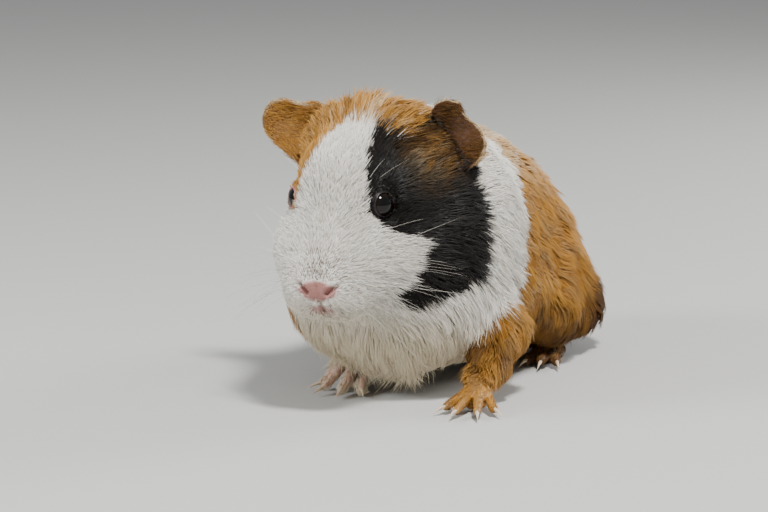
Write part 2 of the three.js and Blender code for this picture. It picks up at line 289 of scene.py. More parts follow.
# The hair of wrists, feet and ears, each near its own node.
def node_guides():
    rows = []
    for half, side in SIDES.items():
        for end, length, depth in (("fore", 1.7, 0.2), ("hind", 2.2, 0.3)):
            foot = middle(f"{end}foot_{side}")
            low, high = (np.array(corner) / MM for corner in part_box(f"{end}foot_{side}"))
            for y in (low[1] + 4, foot[1], high[1] - 3):
                rows.append(((foot[0], y, foot[2]), (0, -0.9, -0.4), length, depth, 0.05))
            wrist = wrist_of(end, side)
            rows.append((wrist + [0, 0, 5], (-0.15 * half, -0.35, -0.95), 12.0, 2.4, 0.5))
            rows.append((wrist, (-0.15 * half, -0.4, -0.9), 8.0, 1.8, 0.3))
        ear = middle(f"ear_{side}")
        rows.append((tuple(ear), tuple(turn_from_head((half, -0.3, 0.1))), 1.6, 0.08, 0.03))
    return rows


def all_guides():
    rows = []
    for place, lie, *sizes in HEAD_GUIDES:
        for side in (1, -1) if place[0] else (1,):
            flip = np.array([side, 1, 1])
            rows.append((from_head(place * flip), turn_from_head(lie * flip), *sizes))
    for place, lie, *sizes in BODY_GUIDES:
        for side in (1, -1) if place[0] > 5 else (1,):
            flip = np.array([side, 1, 1])
            rows.append((place * flip, lie * flip, *sizes))
    rows += node_guides()
    places = np.array([row[0] for row in rows], float)
    lies = unit([row[1] for row in rows])
    sizes = np.array([row[2:] for row in rows], float)
    return places, lies, sizes


GUIDES = all_guides()
GUIDE_CORE = 3.0  # within this a guide hardly weighs more


# The coat at any places: the way it lies, its length, its depth and its lift.
def coat_at(places):
    spots, lies, sizes = GUIDES
    lie = np.zeros((len(places), 3))
    size = np.zeros((len(places), 3))
    total = np.zeros(len(places))
    for spot, way, facts in zip(spots, lies, sizes):
        near = 1 / (((places - spot) ** 2).sum(1) + GUIDE_CORE**2) ** 1.6
        lie += near[:, None] * way
        size += near[:, None] * facts
        total += near
    return unit(lie), size / total[:, None]


# ---------------------------------------------------------------- regions of the body

FLESH = [name for name in frame["nodes"] if "eye" not in name and "claw" not in name]
# How strongly each kind of part is smoothed, from the coarseness of its solid.
SOFTNESS = {"ear": 0.035, "foot": 0.03, "leg": 0.2, "head": 0.12, "neck": 0.6, "trunk": 0.95}
KINDS = list(SOFTNESS)


# A search tree over some nodes, and the kind of part that each of its faces belongs to.
def flesh_tree(names):
    bm = bmesh.new()
    kinds = []
    for name in names:
        bm.from_mesh(frame["nodes"][name].data)
        kind = next(n for n, word in enumerate(KINDS) if word in name)
        kinds += [kind] * (len(bm.faces) - len(kinds))
    bmesh.ops.scale(bm, vec=(1 / MM,) * 3, verts=bm.verts)
    tree = BVHTree.FromBMesh(bm)
    bm.free()
    return tree, np.array(kinds)


SOLIDS, FACE_KINDS = flesh_tree(FLESH)
HEAD_TREE = flesh_tree(["head", "neck"])[0]
EAR_ROOT = {"within": 1.6, "sunk": 3.5}
EAR_RIM = 1.4  # how wide the pale rim is
TOE_REACH = [14, 17, 10]  # how far the bare toes reach from their foot's middle

# ---------------------------------------------------------------- the skin

FINE = re.compile("ear|forefoot|hindfoot")  # what is meshed apart, more finely
ANKLE = 8.0  # above this a foot is still part of the leg's form


# Feet above the ankle, the other flesh and the eyes as one loose form, a little swollen.
def joined_solids():
    bm = bmesh.new()
    for name in [name for name in FLESH if "foot" in name]:
        bm.from_mesh(frame["nodes"][name].data)
    bmesh.ops.remove_doubles(bm, verts=bm.verts, dist=1e-6)
    every = list(bm.verts) + list(bm.edges) + list(bm.faces)
    level = {"plane_co": (0, 0, ANKLE * MM), "plane_no": (0, 0, -1)}
    cut = bmesh.ops.bisect_plane(bm, geom=every, clear_outer=True, **level)
    rim = [part for part in cut["geom_cut"] if isinstance(part, bmesh.types.BMEdge)]
    bmesh.ops.holes_fill(bm, edges=rim)
    for name in [name for name in FLESH if not FINE.match(name)] + ["eye_left", "eye_right"]:
        bm.from_mesh(frame["nodes"][name].data)
    bmesh.ops.remove_doubles(bm, verts=bm.verts, dist=1e-6)
    bm.normal_update()
    for corner in bm.verts:
        corner.co += corner.normal * SWELL * MM
    return from_bmesh("solids", bm)


def voxel_remeshed(mesh, size=VOXEL["body"]):
    thing = bpy.data.objects.new("form", mesh)
    bpy.context.scene.collection.objects.link(thing)
    remesh = thing.modifiers.new("remesh", "REMESH")
    remesh.mode = "VOXEL"
    remesh.voxel_size = size * MM
    ready = thing.evaluated_get(bpy.context.evaluated_depsgraph_get())
    made = bpy.data.meshes.new_from_object(ready)
    bpy.data.objects.remove(thing)
    return made


# The mesh with fewer faces, and with every face kept at corners that aren't plain.
def thinned(mesh, most, plain=None):
    thing = bpy.data.objects.new("thinned", mesh)
    bpy.context.scene.collection.objects.link(thing)
    thin = thing.modifiers.new("thin", "DECIMATE")
    thin.ratio = most / len(mesh.polygons)
    if plain is not None:
        thing.vertex_groups.new(name="plain").add(np.flatnonzero(plain).tolist(), 1, "REPLACE")
        thin.vertex_group = "plain"
    ready = thing.evaluated_get(bpy.context.evaluated_depsgraph_get())
    made = bpy.data.meshes.new_from_object(ready)
    bpy.data.objects.remove(thing)
    return made


# The mesh without its smaller loose shells, found by spreading the lowest label along edges.
def biggest_shell(mesh):
    a, b = edges_of(mesh).T
    label = np.arange(len(mesh.vertices))
    while True:
        low = np.minimum(label[a], label[b])
        lower = label.copy()
        np.minimum.at(lower, a, low)
        np.minimum.at(lower, b, low)
        lower = lower[lower]
        if (lower == label).all():
            break
        label = lower
    main = np.bincount(label).argmax()
    bm = bmesh.new()
    bm.from_mesh(mesh)
    bm.verts.ensure_lookup_table()
    strays = [bm.verts[n] for n in np.flatnonzero(label != main)]
    bmesh.ops.delete(bm, geom=strays, context="VERTS")
    return from_bmesh("shell", bm)


# An ear, smoothed, with its root drawn into the head.
def add_ear(bm, name):
    ear = bmesh.new()
    ear.from_mesh(frame["nodes"][name].data)
    bmesh.ops.remove_doubles(ear, verts=ear.verts, dist=1e-6)
    for corner in ear.verts:
        _, outward, _, gap = HEAD_TREE.find_nearest(corner.co / MM)
        if gap < EAR_ROOT["within"]:
            corner.co -= outward * EAR_ROOT["sunk"] * MM
    mesh = voxel_remeshed(from_bmesh(name, ear), VOXEL["ear"])
    places, faces = arrays(mesh)
    places = relaxed(places, edges_of(mesh), 14, 0.5)
    places += turn_from_head((0, 1, 0)) * (ripple(places, 7, 41) * 0.25)[:, None]
    bm.from_mesh(mesh_of(name, places, faces))


# Each paw: how thick its rays are at the wrist, knuckle, joint and claw; how high the knuckle
# and the joint stand; how far the rays start apart, and inward of the wrist's middle; its
# palm's half sizes; and how thick its wrist is.
PAWS = {
    "fore": {
        "ray": (2.7, 1.85, 1.5, 1.25),
        "arch": (7.6, 4.4),
        "apart": 2.3,
        "inward": 2.5,
        "palm": (3.6, 4.0, 2.4),
        "wrist": 4.5,
    },
    "hind": {
        "ray": (3.1, 2.2, 1.9, 1.6),
        "arch": (5.2, 3.7),
        "apart": 2.4,
        "inward": 0,
        "palm": (4.6, 8.8, 2.8),
        "wrist": 5.0,
    },
}


# Where a claw leaves its toe, and where it ends.
def claw_line(name, sole):
    corners = corners_of(name)
    tip = corners[np.linalg.norm(corners - sole, axis=1).argmax()]
    back = (corners - tip) @ unit(corners.mean(0) - tip)
    return corners[back > back.max() - 0.3].mean(0), tip


def add_ball(bm, place, size, turn=0.0):
    pose = Matrix.Translation(Vector(place * MM)) @ Matrix.Rotation(turn, 4, "Z")
    pose = pose @ Matrix.Diagonal((*[half * MM for half in size], 1))
    bmesh.ops.create_uvsphere(bm, u_segments=20, v_segments=12, radius=1, matrix=pose)


def add_bar(bm, start, end, thick_start, thick_end):
    way = Vector(end - start)
    pose = turned((start + end) / 2, way)
    sizes = {"radius1": thick_start * MM, "radius2": thick_end * MM, "depth": way.length * MM}
    bmesh.ops.create_cone(bm, segments=20, cap_ends=True, matrix=pose, **sizes)
    add_ball(bm, end, (thick_end,) * 3)


# One ray, from the wrist over its knuckle and its joint to its claw.
def add_ray(bm, shape, start, root, tip):
    knuckle = start + (root - start) * 0.4
    joint = start + (root - start) * 0.72
    knuckle[2], joint[2] = shape["arch"]
    places = [start, knuckle, joint, root + unit(root - tip) * 0.4]
    thick = shape["ray"]
    add_ball(bm, start, (thick[0],) * 3)
    for step in range(3):
        add_bar(bm, places[step], places[step + 1], thick[step], thick[step + 1])


# The palm, turned to the claws, and the wrist up into the leg.
def add_palm(bm, shape, sole, toward, wrist, leg):
    turn = math.atan2(toward[1], toward[0]) + math.pi / 2
    add_ball(bm, sole + [0, 0, shape["palm"][2] + 0.25], shape["palm"], turn)
    above = leg[:, 2] - wrist[2]
    up = leg[(above > 7) & (above < 13)].mean(0)
    add_bar(bm, wrist + [0, 0, -2], wrist, shape["wrist"] * 0.8, shape["wrist"])
    add_bar(bm, wrist, up, shape["wrist"], shape["wrist"] + 1.0)


# A paw: a ray to each claw and a palm, meshed as one form and smoothed.
def add_paw(bm, end, side):
    shape = PAWS[end]
    sole = sole_of(end, side)
    wrist = wrist_of(end, side)
    inner = wrist + [shape["inward"] * (-1 if side == "left" else 1), 0, -1.5]
    lines = [claw_line(name, sole) for name in claws_of(end, side)]
    paw = bmesh.new()
    for n, (root, tip) in enumerate(lines):
        ahead_x, ahead_y, _ = unit((root - inner) * [1, 1, 0])
        from_middle = (n - (len(lines) - 1) / 2) * shape["apart"]
        add_ray(paw, shape, inner + from_middle * np.array([ahead_y, -ahead_x, 0]), root, tip)
    toward = np.mean([root for root, _ in lines], axis=0) - sole
    add_palm(paw, shape, sole, toward, wrist, corners_of(f"{end}leg_{side}"))
    mesh = voxel_remeshed(from_bmesh("paw", paw), VOXEL["paw"])
    places, faces = arrays(mesh)
    places = relaxed(places, edges_of(mesh), 9, 0.5)
    places[:, 2] = np.maximum(places[:, 2], 0.03)
    bm.from_mesh(mesh_of("paw", places, faces))


# The joined form, smoothed, and drawn in under the solids' surface by the coat's depth.
def skin_form():
    mesh = biggest_shell(voxel_remeshed(joined_solids()))
    places, faces = arrays(mesh)
    edges = edges_of(mesh)
    softness = np.array(list(SOFTNESS.values()))[FACE_KINDS[nearest(SOLIDS, places)[2]]]
    amount = relaxed(softness, edges, 4, 0.8)
    places = relaxed(places, edges, SMOOTHING, amount)
    spots, outward, _ = nearest(SOLIDS, places)
    stands = np.clip(((places - spots) * outward).sum(1), -3, 3)
    stands = relaxed(stands, edges, SMOOTHING // 2, amount)
    depth = coat_at(places)[1][:, 1]
    places = places - normals_of(places, faces) * (stands + depth)[:, None]
    places = relaxed(places, edges, 4, np.minimum(amount * 2, 0.5))
    return mesh_of("skin_form", places, faces)


# ---------------------------------------------------------------- eyes, nose and mouth

# The lids: how wide and how proud their rim is, where their form has faded into the head, how
# far their edge draws corners onto itself, how deep they sink inside, and how they slope.
LID = {"rim": 0.85, "proud": 0.3, "fades": 7.2, "snap": (0.22, 0.06), "sunk": 1.2, "slope": 0.55}
LID_EDGE = (0.35, 1.0)  # the lid's bare edge fades between these distances past its opening
OPENINGS = {1: 3.85, -1: 3.1}  # how far the lids stand from the middle of each eye
LOOKS = {1: (0.86, 0.48, 0.1), -1: (-0.74, 0.66, 0.1)}  # head directions
SEPTUM = 0.2  # the nose's middle lies this far to the animal's left of the eyes' middle
NOSE = {"at": (SEPTUM, 19, -26), "half": (7.6, 5, 3.7)}
LIPS = {"at": (SEPTUM + 1.2, 17, -32.6), "half": (4.6, 6, 2.3)}
# Grooves, each from one place to another, across and up, with its depth and its width.
NOSTRIL = ((3.3, -26.6), (6.2, -24.0), 1.5, 0.65)
CLEFT_TOP, CLEFT_END = (0.7, -29.4), (1.4, -34.8)
GROOVES = [
    (CLEFT_TOP, CLEFT_END, 1.3, 0.55),
    ((0, -24.5), CLEFT_TOP, 0.35, 0.45),
    ((1.1, -32.4), (1.3, -33.8), 2.0, 0.85),
]
MOUTH = {"at": -35.4, "reach": 6.0, "bow": 0.045, "deep": 1.8, "wide": 0.6}
FINE_SPOTS = {"eye": 7.5, "nose": 11}  # how far the finer cells reach round each


def eye_axis(side):
    return unit(turn_from_head(LOOKS[side]))


# The form with finer cells round the eyes and the nose, and with ears and paws added.
def refined(mesh):
    bm = bmesh.new()
    bm.from_mesh(mesh)
    spots = [(EYES[side] + eye_axis(side) * 3, FINE_SPOTS["eye"]) for side in (1, -1)]
    spots.append((from_head((SEPTUM, 17, -29)), FINE_SPOTS["nose"]))
    for _ in range(2):
        edges = []
        for edge in bm.edges:
            centre = (edge.verts[0].co + edge.verts[1].co) / 2 / MM
            if any((centre - Vector(spot)).length < reach for spot, reach in spots):
                edges.append(edge)
        bmesh.ops.subdivide_edges(bm, edges=edges, cuts=1, use_grid_fill=True)
    for side in ("left", "right"):
        add_ear(bm, f"ear_{side}")
        add_paw(bm, "fore", side)
        add_paw(bm, "hind", side)
    bmesh.ops.triangulate(bm, faces=bm.faces)
    return from_bmesh("skin_refined", bm)


# Draws the corners round each eye onto its lids' form.
def with_lids(places):
    places = places.copy()
    for side, eye in EYES.items():
        axis = eye_axis(side)
        away = places - eye
        along = away @ axis
        sideways = away - along[:, None] * axis
        radial = np.linalg.norm(sideways, axis=1)
        opening = OPENINGS[side]
        before, after = LID["snap"]
        near_edge = (radial > opening - before) & (radial < opening + after)
        fixed = np.where(near_edge, opening, radial)
        inside = fixed < opening
        rim = opening + LID["rim"]
        reach = EYE_RADIUS + np.where(inside, -LID["sunk"], LID["proud"])
        height = np.sqrt(np.maximum(reach**2 - np.minimum(fixed, rim) ** 2, 0.1))
        height = height - np.maximum(fixed - rim, 0) * LID["slope"]
        sideways *= (fixed / np.maximum(radial, 1e-6))[:, None]
        shaped = eye + sideways + height[:, None] * axis
        weight = (along > -1) * (1 - smoothstep(rim, LID["fades"], fixed))
        places += (shaped - places) * weight[:, None]
    return places


# How far each place lies from a line between two points, across and up.
def segment_gap(x, z, start, end):
    (x0, z0), (x1, z1) = start, end
    run, rise = x1 - x0, z1 - z0
    t = np.clip(((x - x0) * run + (z - z0) * rise) / (run**2 + rise**2), 0, 1)
    return np.hypot(x - x0 - t * run, z - z0 - t * rise)


def nose_mask(head):
    offset = (head - NOSE["at"]) / NOSE["half"]
    narrowing = 1 + 0.5 * smoothstep(-0.2, -1, offset[:, 2])
    away = np.hypot(offset[:, 0] * narrowing, offset[:, 2]) + 0.1 * ripple(head, 1.6, 51)
    return (head[:, 1] > 12) * (1 - smoothstep(0.72, 1.18, away))


def lip_mask(head):
    offset = (head - LIPS["at"]) / LIPS["half"]
    return (head[:, 1] > 12) * (1 - smoothstep(0.7, 1.15, np.hypot(offset[:, 0], offset[:, 2])))


# How deep the nostrils, the cleft and the mouth cut, at places across and up.
def groove_depth(x, z):
    past_cleft = x - CLEFT_END[0]
    bow = MOUTH["at"] - MOUTH["bow"] * past_cleft**2
    beyond = np.maximum(np.abs(past_cleft) - MOUTH["reach"], 0)
    low, high, *nostril = NOSTRIL
    cuts = [(segment_gap(x * side, z, low, high), *nostril) for side in SIDES]
    cuts += [(segment_gap(x, z, start, end), *sizes) for start, end, *sizes in GROOVES]
    cuts.append((np.hypot(z - bow, beyond), MOUTH["deep"], MOUTH["wide"]))
    return np.max([deep * np.exp(-((gap / wide) ** 2)) for gap, deep, wide in cuts], axis=0)


# How far the wings over the nostrils and the lips beside the cleft stand proud.
def swell(x, z):
    wings = 0
    for side in SIDES:
        rim = segment_gap(x * side, z, (3.4, -24.3), (6.8, -22.9))
        wings = wings + 0.45 * np.exp(-((rim / 1.1) ** 2))
    beside = np.abs(x - CLEFT_END[0]) - 2.6
    return wings, 0.4 * np.exp(-((beside / 2.0) ** 2) - ((z + 32.6) / 2.0) ** 2)


def with_nose(places, faces):
    head = to_head(places)
    x, z = head[:, 0] - SEPTUM, head[:, 2]
    wings, lips = swell(x, z)
    raised = nose_mask(head) * 0.3 + wings + lips - groove_depth(x, z)
    raised *= smoothstep(9, 13, head[:, 1])
    return places + normals_of(places, faces) * raised[:, None]


# ---------------------------------------------------------------- markings
# Each mask is 1 where its colour lies and 0 elsewhere; what none of them covers is white.

# The black patch's front edge up the face: how far across it starts at each height.
PATCH_BROW = {
    "up": [-9, -6.7, -4, -1.6, 2.2, 17, 24, 30],
    "across": [24, 17.2, 13.6, 11.9, 10.9, 8.6, 6.6, 3],
}
# Its top, where the crown's ginger starts: how high, by how far across.
PATCH_TOP = {
    "across": [5.7, 9, 12.3, 16.9, 18.5, 20, 24],
    "up": [24.4, 22.5, 21.5, 20.4, 21.5, 25, 29],
}
# Below the eye a white wedge cuts into it: how far ahead the black starts at each height.
PATCH_CHEEK = {
    "up": [-35, -32, -29, -25, -16, -13, -11, -9.8, -8.4],
    "ahead": [-9, -4.5, -1, -4, -6, -9, -7, -3, 4],
}
# Its lowest reach, by how far ahead.
PATCH_HEM = {
    "ahead": [-34, -25, -20.6, -13.6, -10.6, -8.8, -4],
    "up": [-24, -25.5, -27.5, -30.1, -32.5, -34.1, -31.5],
}
# Its hind edge, by height.
PATCH_REAR = {
    "up": [-26, -8, 1.4, 3.3, 5.1, 12, 20],
    "ahead": [-25, -25.4, -25, -22.5, -21, -21, -25],
}
# The ginger patch round the far eye, by height.
FAR_BROW = {
    "up": [-12, -6, 0.4, 3.6, 7.5, 13.6, 18.2, 22, 25.3, 30],
    "across": [21, 14.5, 12.3, 11.9, 10.8, 8.5, 6.7, 3.5, -2.4, -6],
}
# Where the body's ginger starts behind the white collar, on each side, by height.
COLLAR_LEFT = {
    "up": [0, 15, 19, 23, 26, 29.3, 32, 35.8, 47.4, 55.5, 62.8, 71, 90],
    "y": [-60, -56, -38, -34.3, -32.8, -28.9, -20, -12.8, -11.5, -10.4, -4.2, 3.5, 4],
}
COLLAR_RIGHT = {"up": [0, 17, 28, 40, 60, 80, 90], "y": [-48, -47, -46, -30, -8, 6, 12]}

# Soft regions of the coat: where each is centred and its half sizes.
# At the elbow the ginger browns: partly its own brown hair, partly painted shade under the body.
ARM_BROWN_AND_SHADE = ([36, -37, 19], [10, 7, 6])  # in the row frame
TEMPLE = ([25, -15, 17], [7, 7, 9])  # these in the head frame
GREY_NOSE = ([SEPTUM + 0.6, 20, -18.5], [7.5, 6, 6])
GREY_LIPS = ([SEPTUM + 1.2, 17, -32.5], [5, 5, 2.4])


def along_edge(edge, by, of, at):
    return np.interp(at, edge[by], edge[of])


# How far inside a node's box, rounded and grown a little, each place lies.
def nearness(name, places):
    low, high = (np.array(corner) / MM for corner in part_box(name))
    half = (high - low) / 2 + 3
    return (1 - np.linalg.norm((places - (low + high) / 2) / half, axis=1)) * half.min()


def soft(distance, blur=0.35):
    return smoothstep(-blur, blur, distance)


# How far inside the black patch each place lies, and how far above its top edge.
def inside_patch(places, head):
    x, f, z = head.T
    ragged = ripple(places, 3, 32) * 0.9
    brow = np.minimum(x - along_edge(PATCH_BROW, "up", "across", z), z + 9.3 + ragged)
    cheek = np.minimum(along_edge(PATCH_CHEEK, "up", "ahead", z + ragged * 0.6) - f, 0.5 - z)
    black = np.maximum(brow, cheek)
    black = np.minimum(black, z - along_edge(PATCH_HEM, "ahead", "up", f))
    behind_ear = 4 * smoothstep(27, 30, x) * smoothstep(3, 9, z)
    black = np.minimum(black, f - along_edge(PATCH_REAR, "up", "ahead", z) + behind_ear)
    over_patch = z - along_edge(PATCH_TOP, "across", "up", x)
    mingled = ripple(places * [1, 1, 0.4], 1.8, 31) * 1.8
    return np.minimum(np.minimum(black, mingled - over_patch), x), over_patch


# How far inside the ginger round the far eye and on the crown each place lies.
def inside_head_ginger(head, over_patch):
    x, f, z = head.T
    far_eye = np.minimum(-x - along_edge(FAR_BROW, "up", "across", z), f + 34)
    far_eye = np.minimum(far_eye, z + 3)
    crown = np.minimum(z - 12, -12 - f - 0.1 * np.abs(x))
    crown = np.maximum(crown, np.minimum(over_patch + 1.5, x - 5))
    return np.maximum(far_eye, np.minimum(crown, f + 36))


# How far inside the ginger behind the collar, without the belly, each place lies.
def inside_body_ginger(places):
    x, y, z = places.T
    left = y - along_edge(COLLAR_LEFT, "up", "y", z)
    right = y - along_edge(COLLAR_RIGHT, "up", "y", z)
    side = smoothstep(-8, 8, x)
    collar = left * side + right * (1 - side)
    throat = np.hypot(x + 1, (z - 10) * 0.8) - 29
    body = np.minimum(collar, np.maximum(y + 18, throat))
    belly = 13 - np.hypot(x * 0.5, z - 2) - np.maximum(y - 30, 0)
    body = np.minimum(body, -belly)
    for name in ("forefoot_left", "hindfoot_left", "hindfoot_right"):
        body = np.maximum(body, np.minimum(nearness(name, places), 9 - z))
    return np.minimum(body, -nearness("forefoot_right", places))


# How brown and how cream the ginger is: dark low down and at the arm, partly its own brown hair
# and partly painted shade under the body, brown at the temple, and a cream streak beside the
# spine, partly painted highlight on the top of the back, with cream tufts on the crown.
def ginger_shades(places, head, ginger, temple):
    _, y, z = places.T
    streaks = ripple(places * [1, 0.3, 0.6], 4.5, 11)
    patches = ripple(places, 16, 14)
    # Partly painted shade, partly its own brown: the ginger darkens low on the flank and rump.
    flank_brown_and_shade = smoothstep(-12, 8, y) * smoothstep(32, 12, z)
    rump_brown_and_shade = smoothstep(38, 66, y) * smoothstep(40, 12, z)
    brown = 0.65 * flank_brown_and_shade + 0.5 * rump_brown_and_shade + 0.8 * soft_spot(places, *ARM_BROWN_AND_SHADE) + 0.62 * temple + 0.08
    brown = ginger * np.clip(brown + 0.2 * streaks + 0.14 * patches, 0, 0.92)
    # Partly painted highlight, partly cream hair: the ginger pales along the top of the back.
    spine = np.exp(-(((places[:, 0] - 12) / 13) ** 2)) * smoothstep(56, 72, z)
    spine = spine * smoothstep(60, 20, y)
    cream = np.clip(ginger * (spine * (0.7 + 0.4 * streaks) + 0.05 + 0.16 * streaks), 0, 1)
    across, f, up = head.T
    stripe = np.exp(-(((across - 4) / 3) ** 2)) * smoothstep(-9, -12, f) * smoothstep(-27, -22, f)
    tufts = ripple(places * [1, 0.4, 0.4], 2.4, 12)
    on_crown = smoothstep(12, 18, up) * smoothstep(-36, -30, f) * ginger
    cream = np.clip(cream * (1 - on_crown) + on_crown * (0.8 * stripe + 0.5 * tufts - 0.1), 0, 1)
    brown = np.clip(brown + on_crown * (0.05 - 0.45 * tufts - stripe), 0, 1)
    return brown, cream


def markings(places):
    head = to_head(places)
    wobble = ripple(places, 4.5, 3) * 0.5 + ripple(places, 1.7, 4) * 0.35
    patch, over_patch = inside_patch(places, head)
    black = soft(patch + wobble)
    on_head = soft(inside_head_ginger(head, over_patch) + wobble)
    on_body = soft(inside_body_ginger(places) + wobble * 1.6, 0.8)
    ginger = np.maximum(on_head, on_body) * (1 - black)
    temple = soft_spot(head, *TEMPLE)
    ginger = np.maximum(ginger, black * smoothstep(0, 0.05, temple))
    black = black * (1 - np.clip(temple * (0.7 + 0.5 * ripple(places, 2.2, 33)), 0, 0.9))
    brown, cream = ginger_shades(places, head, ginger, temple)
    return {
        "black": black,
        "ginger": ginger,
        "brown": brown,
        "cream": cream,
        "grey": np.maximum(soft_spot(head, *GREY_NOSE), 0.7 * soft_spot(head, *GREY_LIPS)),
        # Warmer and darker low on the neck and chest: partly cream fur, partly painted shade.
        "warm": smoothstep(34, 14, places[:, 2] + 0.2 * places[:, 1] + 6),
    }


# An ear's rim: places from which a short step away from its middle leaves the ear.
def ear_rims(places, ear, outward):
    rim = np.zeros(len(places))
    chosen = np.flatnonzero(ear)
    head = to_head(places[chosen])
    left = head[:, 0] > 0
    away = places[chosen] - np.where(left[:, None], middle("ear_left"), middle("ear_right"))
    normal = outward[chosen]
    away = unit(away - (away * normal).sum(1)[:, None] * normal)
    beyond = places[chosen] + away * EAR_RIM
    gap = np.linalg.norm(beyond - nearest(SOLIDS, beyond)[0], axis=1)
    outer = smoothstep(33, 36, np.abs(head[:, 0])) * smoothstep(9, 15, head[:, 2])
    outer = np.maximum(outer, smoothstep(21, 25, head[:, 2]))
    rim[chosen] = smoothstep(0.35, 0.75, gap) * outer
    return rim


# The ears' own hair: ginger behind, dark in front on the left, with a pale rim.
def with_ears(facts, places, kinds, outward):
    head = to_head(places)
    ear = kinds == KINDS.index("ear")
    facing = outward @ turn_from_head((0, 1, 0))
    rim = ear_rims(places, ear, outward)
    front = ear * smoothstep(0.1, 0.6, facing)
    left = head[:, 0] > 0
    facts["ginger"] = np.where(ear, 1.0, facts["ginger"])
    facts["black"] = np.where(ear, 0.0, facts["black"])
    base = 1 - smoothstep(30, 36, np.abs(head[:, 0]))
    dark = np.where(left, np.maximum(front * 0.85, base * 0.85), front * 0.12)
    facts["brown"] = np.where(ear, dark * (1 - rim), facts["brown"])
    facts["cream"] = np.where(ear, rim * 0.95, facts["cream"])
    return facts


# The right forepaw's pale pink toes.
def toe_mask(places):
    offset = (places - middle("forefoot_right")) / TOE_REACH
    return 1 - smoothstep(0.8, 1.2, np.linalg.norm(offset, axis=1))


# How far each place lies from an eye's axis, and from its middle.
def eye_gaps(places, side):
    away = places - EYES[side]
    axis = eye_axis(side)
    radial = np.linalg.norm(away - (away @ axis)[:, None] * axis, axis=1)
    return radial, np.linalg.norm(away, axis=1)


# How bare the skin is at the nose, lips and lids, and how much of it is an ear's inside.
def bareness(places, kinds, outward):
    head = to_head(places)
    bare = np.maximum(nose_mask(head), 0.85 * lip_mask(head))
    for side in SIDES:
        radial, away = eye_gaps(places, side)
        start, stop = LID_EDGE
        lid = 1 - smoothstep(OPENINGS[side] + start, OPENINGS[side] + stop, radial)
        bare = np.maximum(bare, lid * (away < 8))
    inside = smoothstep(0.1, 0.5, outward @ turn_from_head((0, 1, 0)))
    inside *= np.where(head[:, 0] > 0, 1, 0.55)
    ear = np.where(KINDS.index("ear") == kinds, inside, 0)
    return np.clip(bare, 0, 1), ear


# ---------------------------------------------------------------- tufts
# A tuft is a thin three-sided blade through a few rings, closed at its root and pointed.


# The corners and faces of all blades, how far along its blade each corner is, and how many
# corners a blade has.
def blades(spine, across, width, taper):
    count, rings = spine.shape[:2]
    heading = unit(np.gradient(spine, axis=1))
    across = across[:, None, :]
    sides = unit(across - (across * heading).sum(2, keepdims=True) * heading)
    half = (width[:, None] * taper[None, :])[..., None] / 2
    aside = (sides * half)[:, :-1]
    raised = (np.cross(heading, sides) * half * 0.7)[:, :-1]
    inner = spine[:, :-1]
    threes = np.stack([inner + aside, inner - aside, inner + raised], axis=2)
    places = np.concatenate([threes.reshape(count, -1, 3), spine[:, -1:]], axis=1)
    faces = [(0, 1, 2)]
    for ring in range(rings - 2):
        for side in range(3):
            a, b = ring * 3 + side, ring * 3 + (side + 1) % 3
            faces += [(b, a, a + 3), (b, a + 3, b + 3)]
    last = (rings - 2) * 3
    for side in range(3):
        faces.append((last + (side + 1) % 3, last + side, last + 3))
    faces = np.array(faces)
    each = places.shape[1]
    along = np.concatenate([np.repeat(np.arange(rings - 1), 3), [rings - 1]]) / (rings - 1)
    all_faces = faces[None] + each * np.arange(count)[:, None, None]
    return places.reshape(-1, 3), all_faces.reshape(-1, 3), np.tile(along, count), each


# An unwrap of the skin's own shape over the stretch that these roots cover.
class Unwrap:
    def __init__(self, coarse, roots):
        places, faces = coarse
        tree = BVHTree.FromPolygons(places.tolist(), faces.tolist())
        used = np.unique(nearest(tree, roots)[2])
        corners, inverse = np.unique(faces[used], return_inverse=True)
        self.faces = inverse.reshape(-1, 3)
        self.places = places[corners]
        mesh = mesh_of("stretch", self.places, self.faces)
        thing = bpy.data.objects.new("stretch", mesh)
        bpy.context.scene.collection.objects.link(thing)
        bpy.context.view_layer.objects.active = thing
        mesh.uv_layers.new(name="unwrap")
        bpy.ops.object.mode_set(mode="EDIT")
        bpy.ops.mesh.select_all(action="SELECT")
        bpy.ops.uv.smart_project(angle_limit=math.radians(66), island_margin=0.004)
        bpy.ops.object.mode_set(mode="OBJECT")
        spots = np.empty(len(mesh.loops) * 2, np.float32)
        mesh.uv_layers[0].data.foreach_get("uv", spots)
        self.spots = spots.reshape(-1, 3, 2)
        bpy.data.objects.remove(thing)
        bpy.data.meshes.remove(mesh)
        self.tree = BVHTree.FromPolygons(self.places.tolist(), self.faces.tolist())

    def at(self, roots):
        hits, _, face = nearest(self.tree, roots)
        a, b, c = (self.places[self.faces[face, n]] for n in range(3))
        whole = np.cross(b - a, c - a)
        size = np.maximum((whole**2).sum(1), 1e-12)
        v = (np.cross(hits - a, c - a) * whole).sum(1) / size
        w = (np.cross(b - a, hits - a) * whole).sum(1) / size
        spots = self.spots[face]
        shares = np.stack([1 - v - w, v, w], axis=1)[..., None]
        found = spots[:, 0] * shares[:, 0] + spots[:, 1] * shares[:, 1] + spots[:, 2] * shares[:, 2]
        return np.clip(found, BAKE_PATCH, 1 - BAKE_PATCH)


# Each tuft's own little patch: its length runs up it, and its three sides lie side by side.
def add_bake_map(mesh, spots, faces, along, each):
    layer = mesh.uv_layers.new(name="OFBake")
    across = np.tile(np.append(np.tile([0, 1, 0.5], (each - 1) // 3), 0.5), len(along) // each)
    patch = np.stack([across - 0.5, along - 0.5], axis=1) * BAKE_PATCH
    patch += np.repeat(spots, each, axis=0)
    layer.data.foreach_set("uv", patch[faces.ravel()].astype(np.float32).ravel())


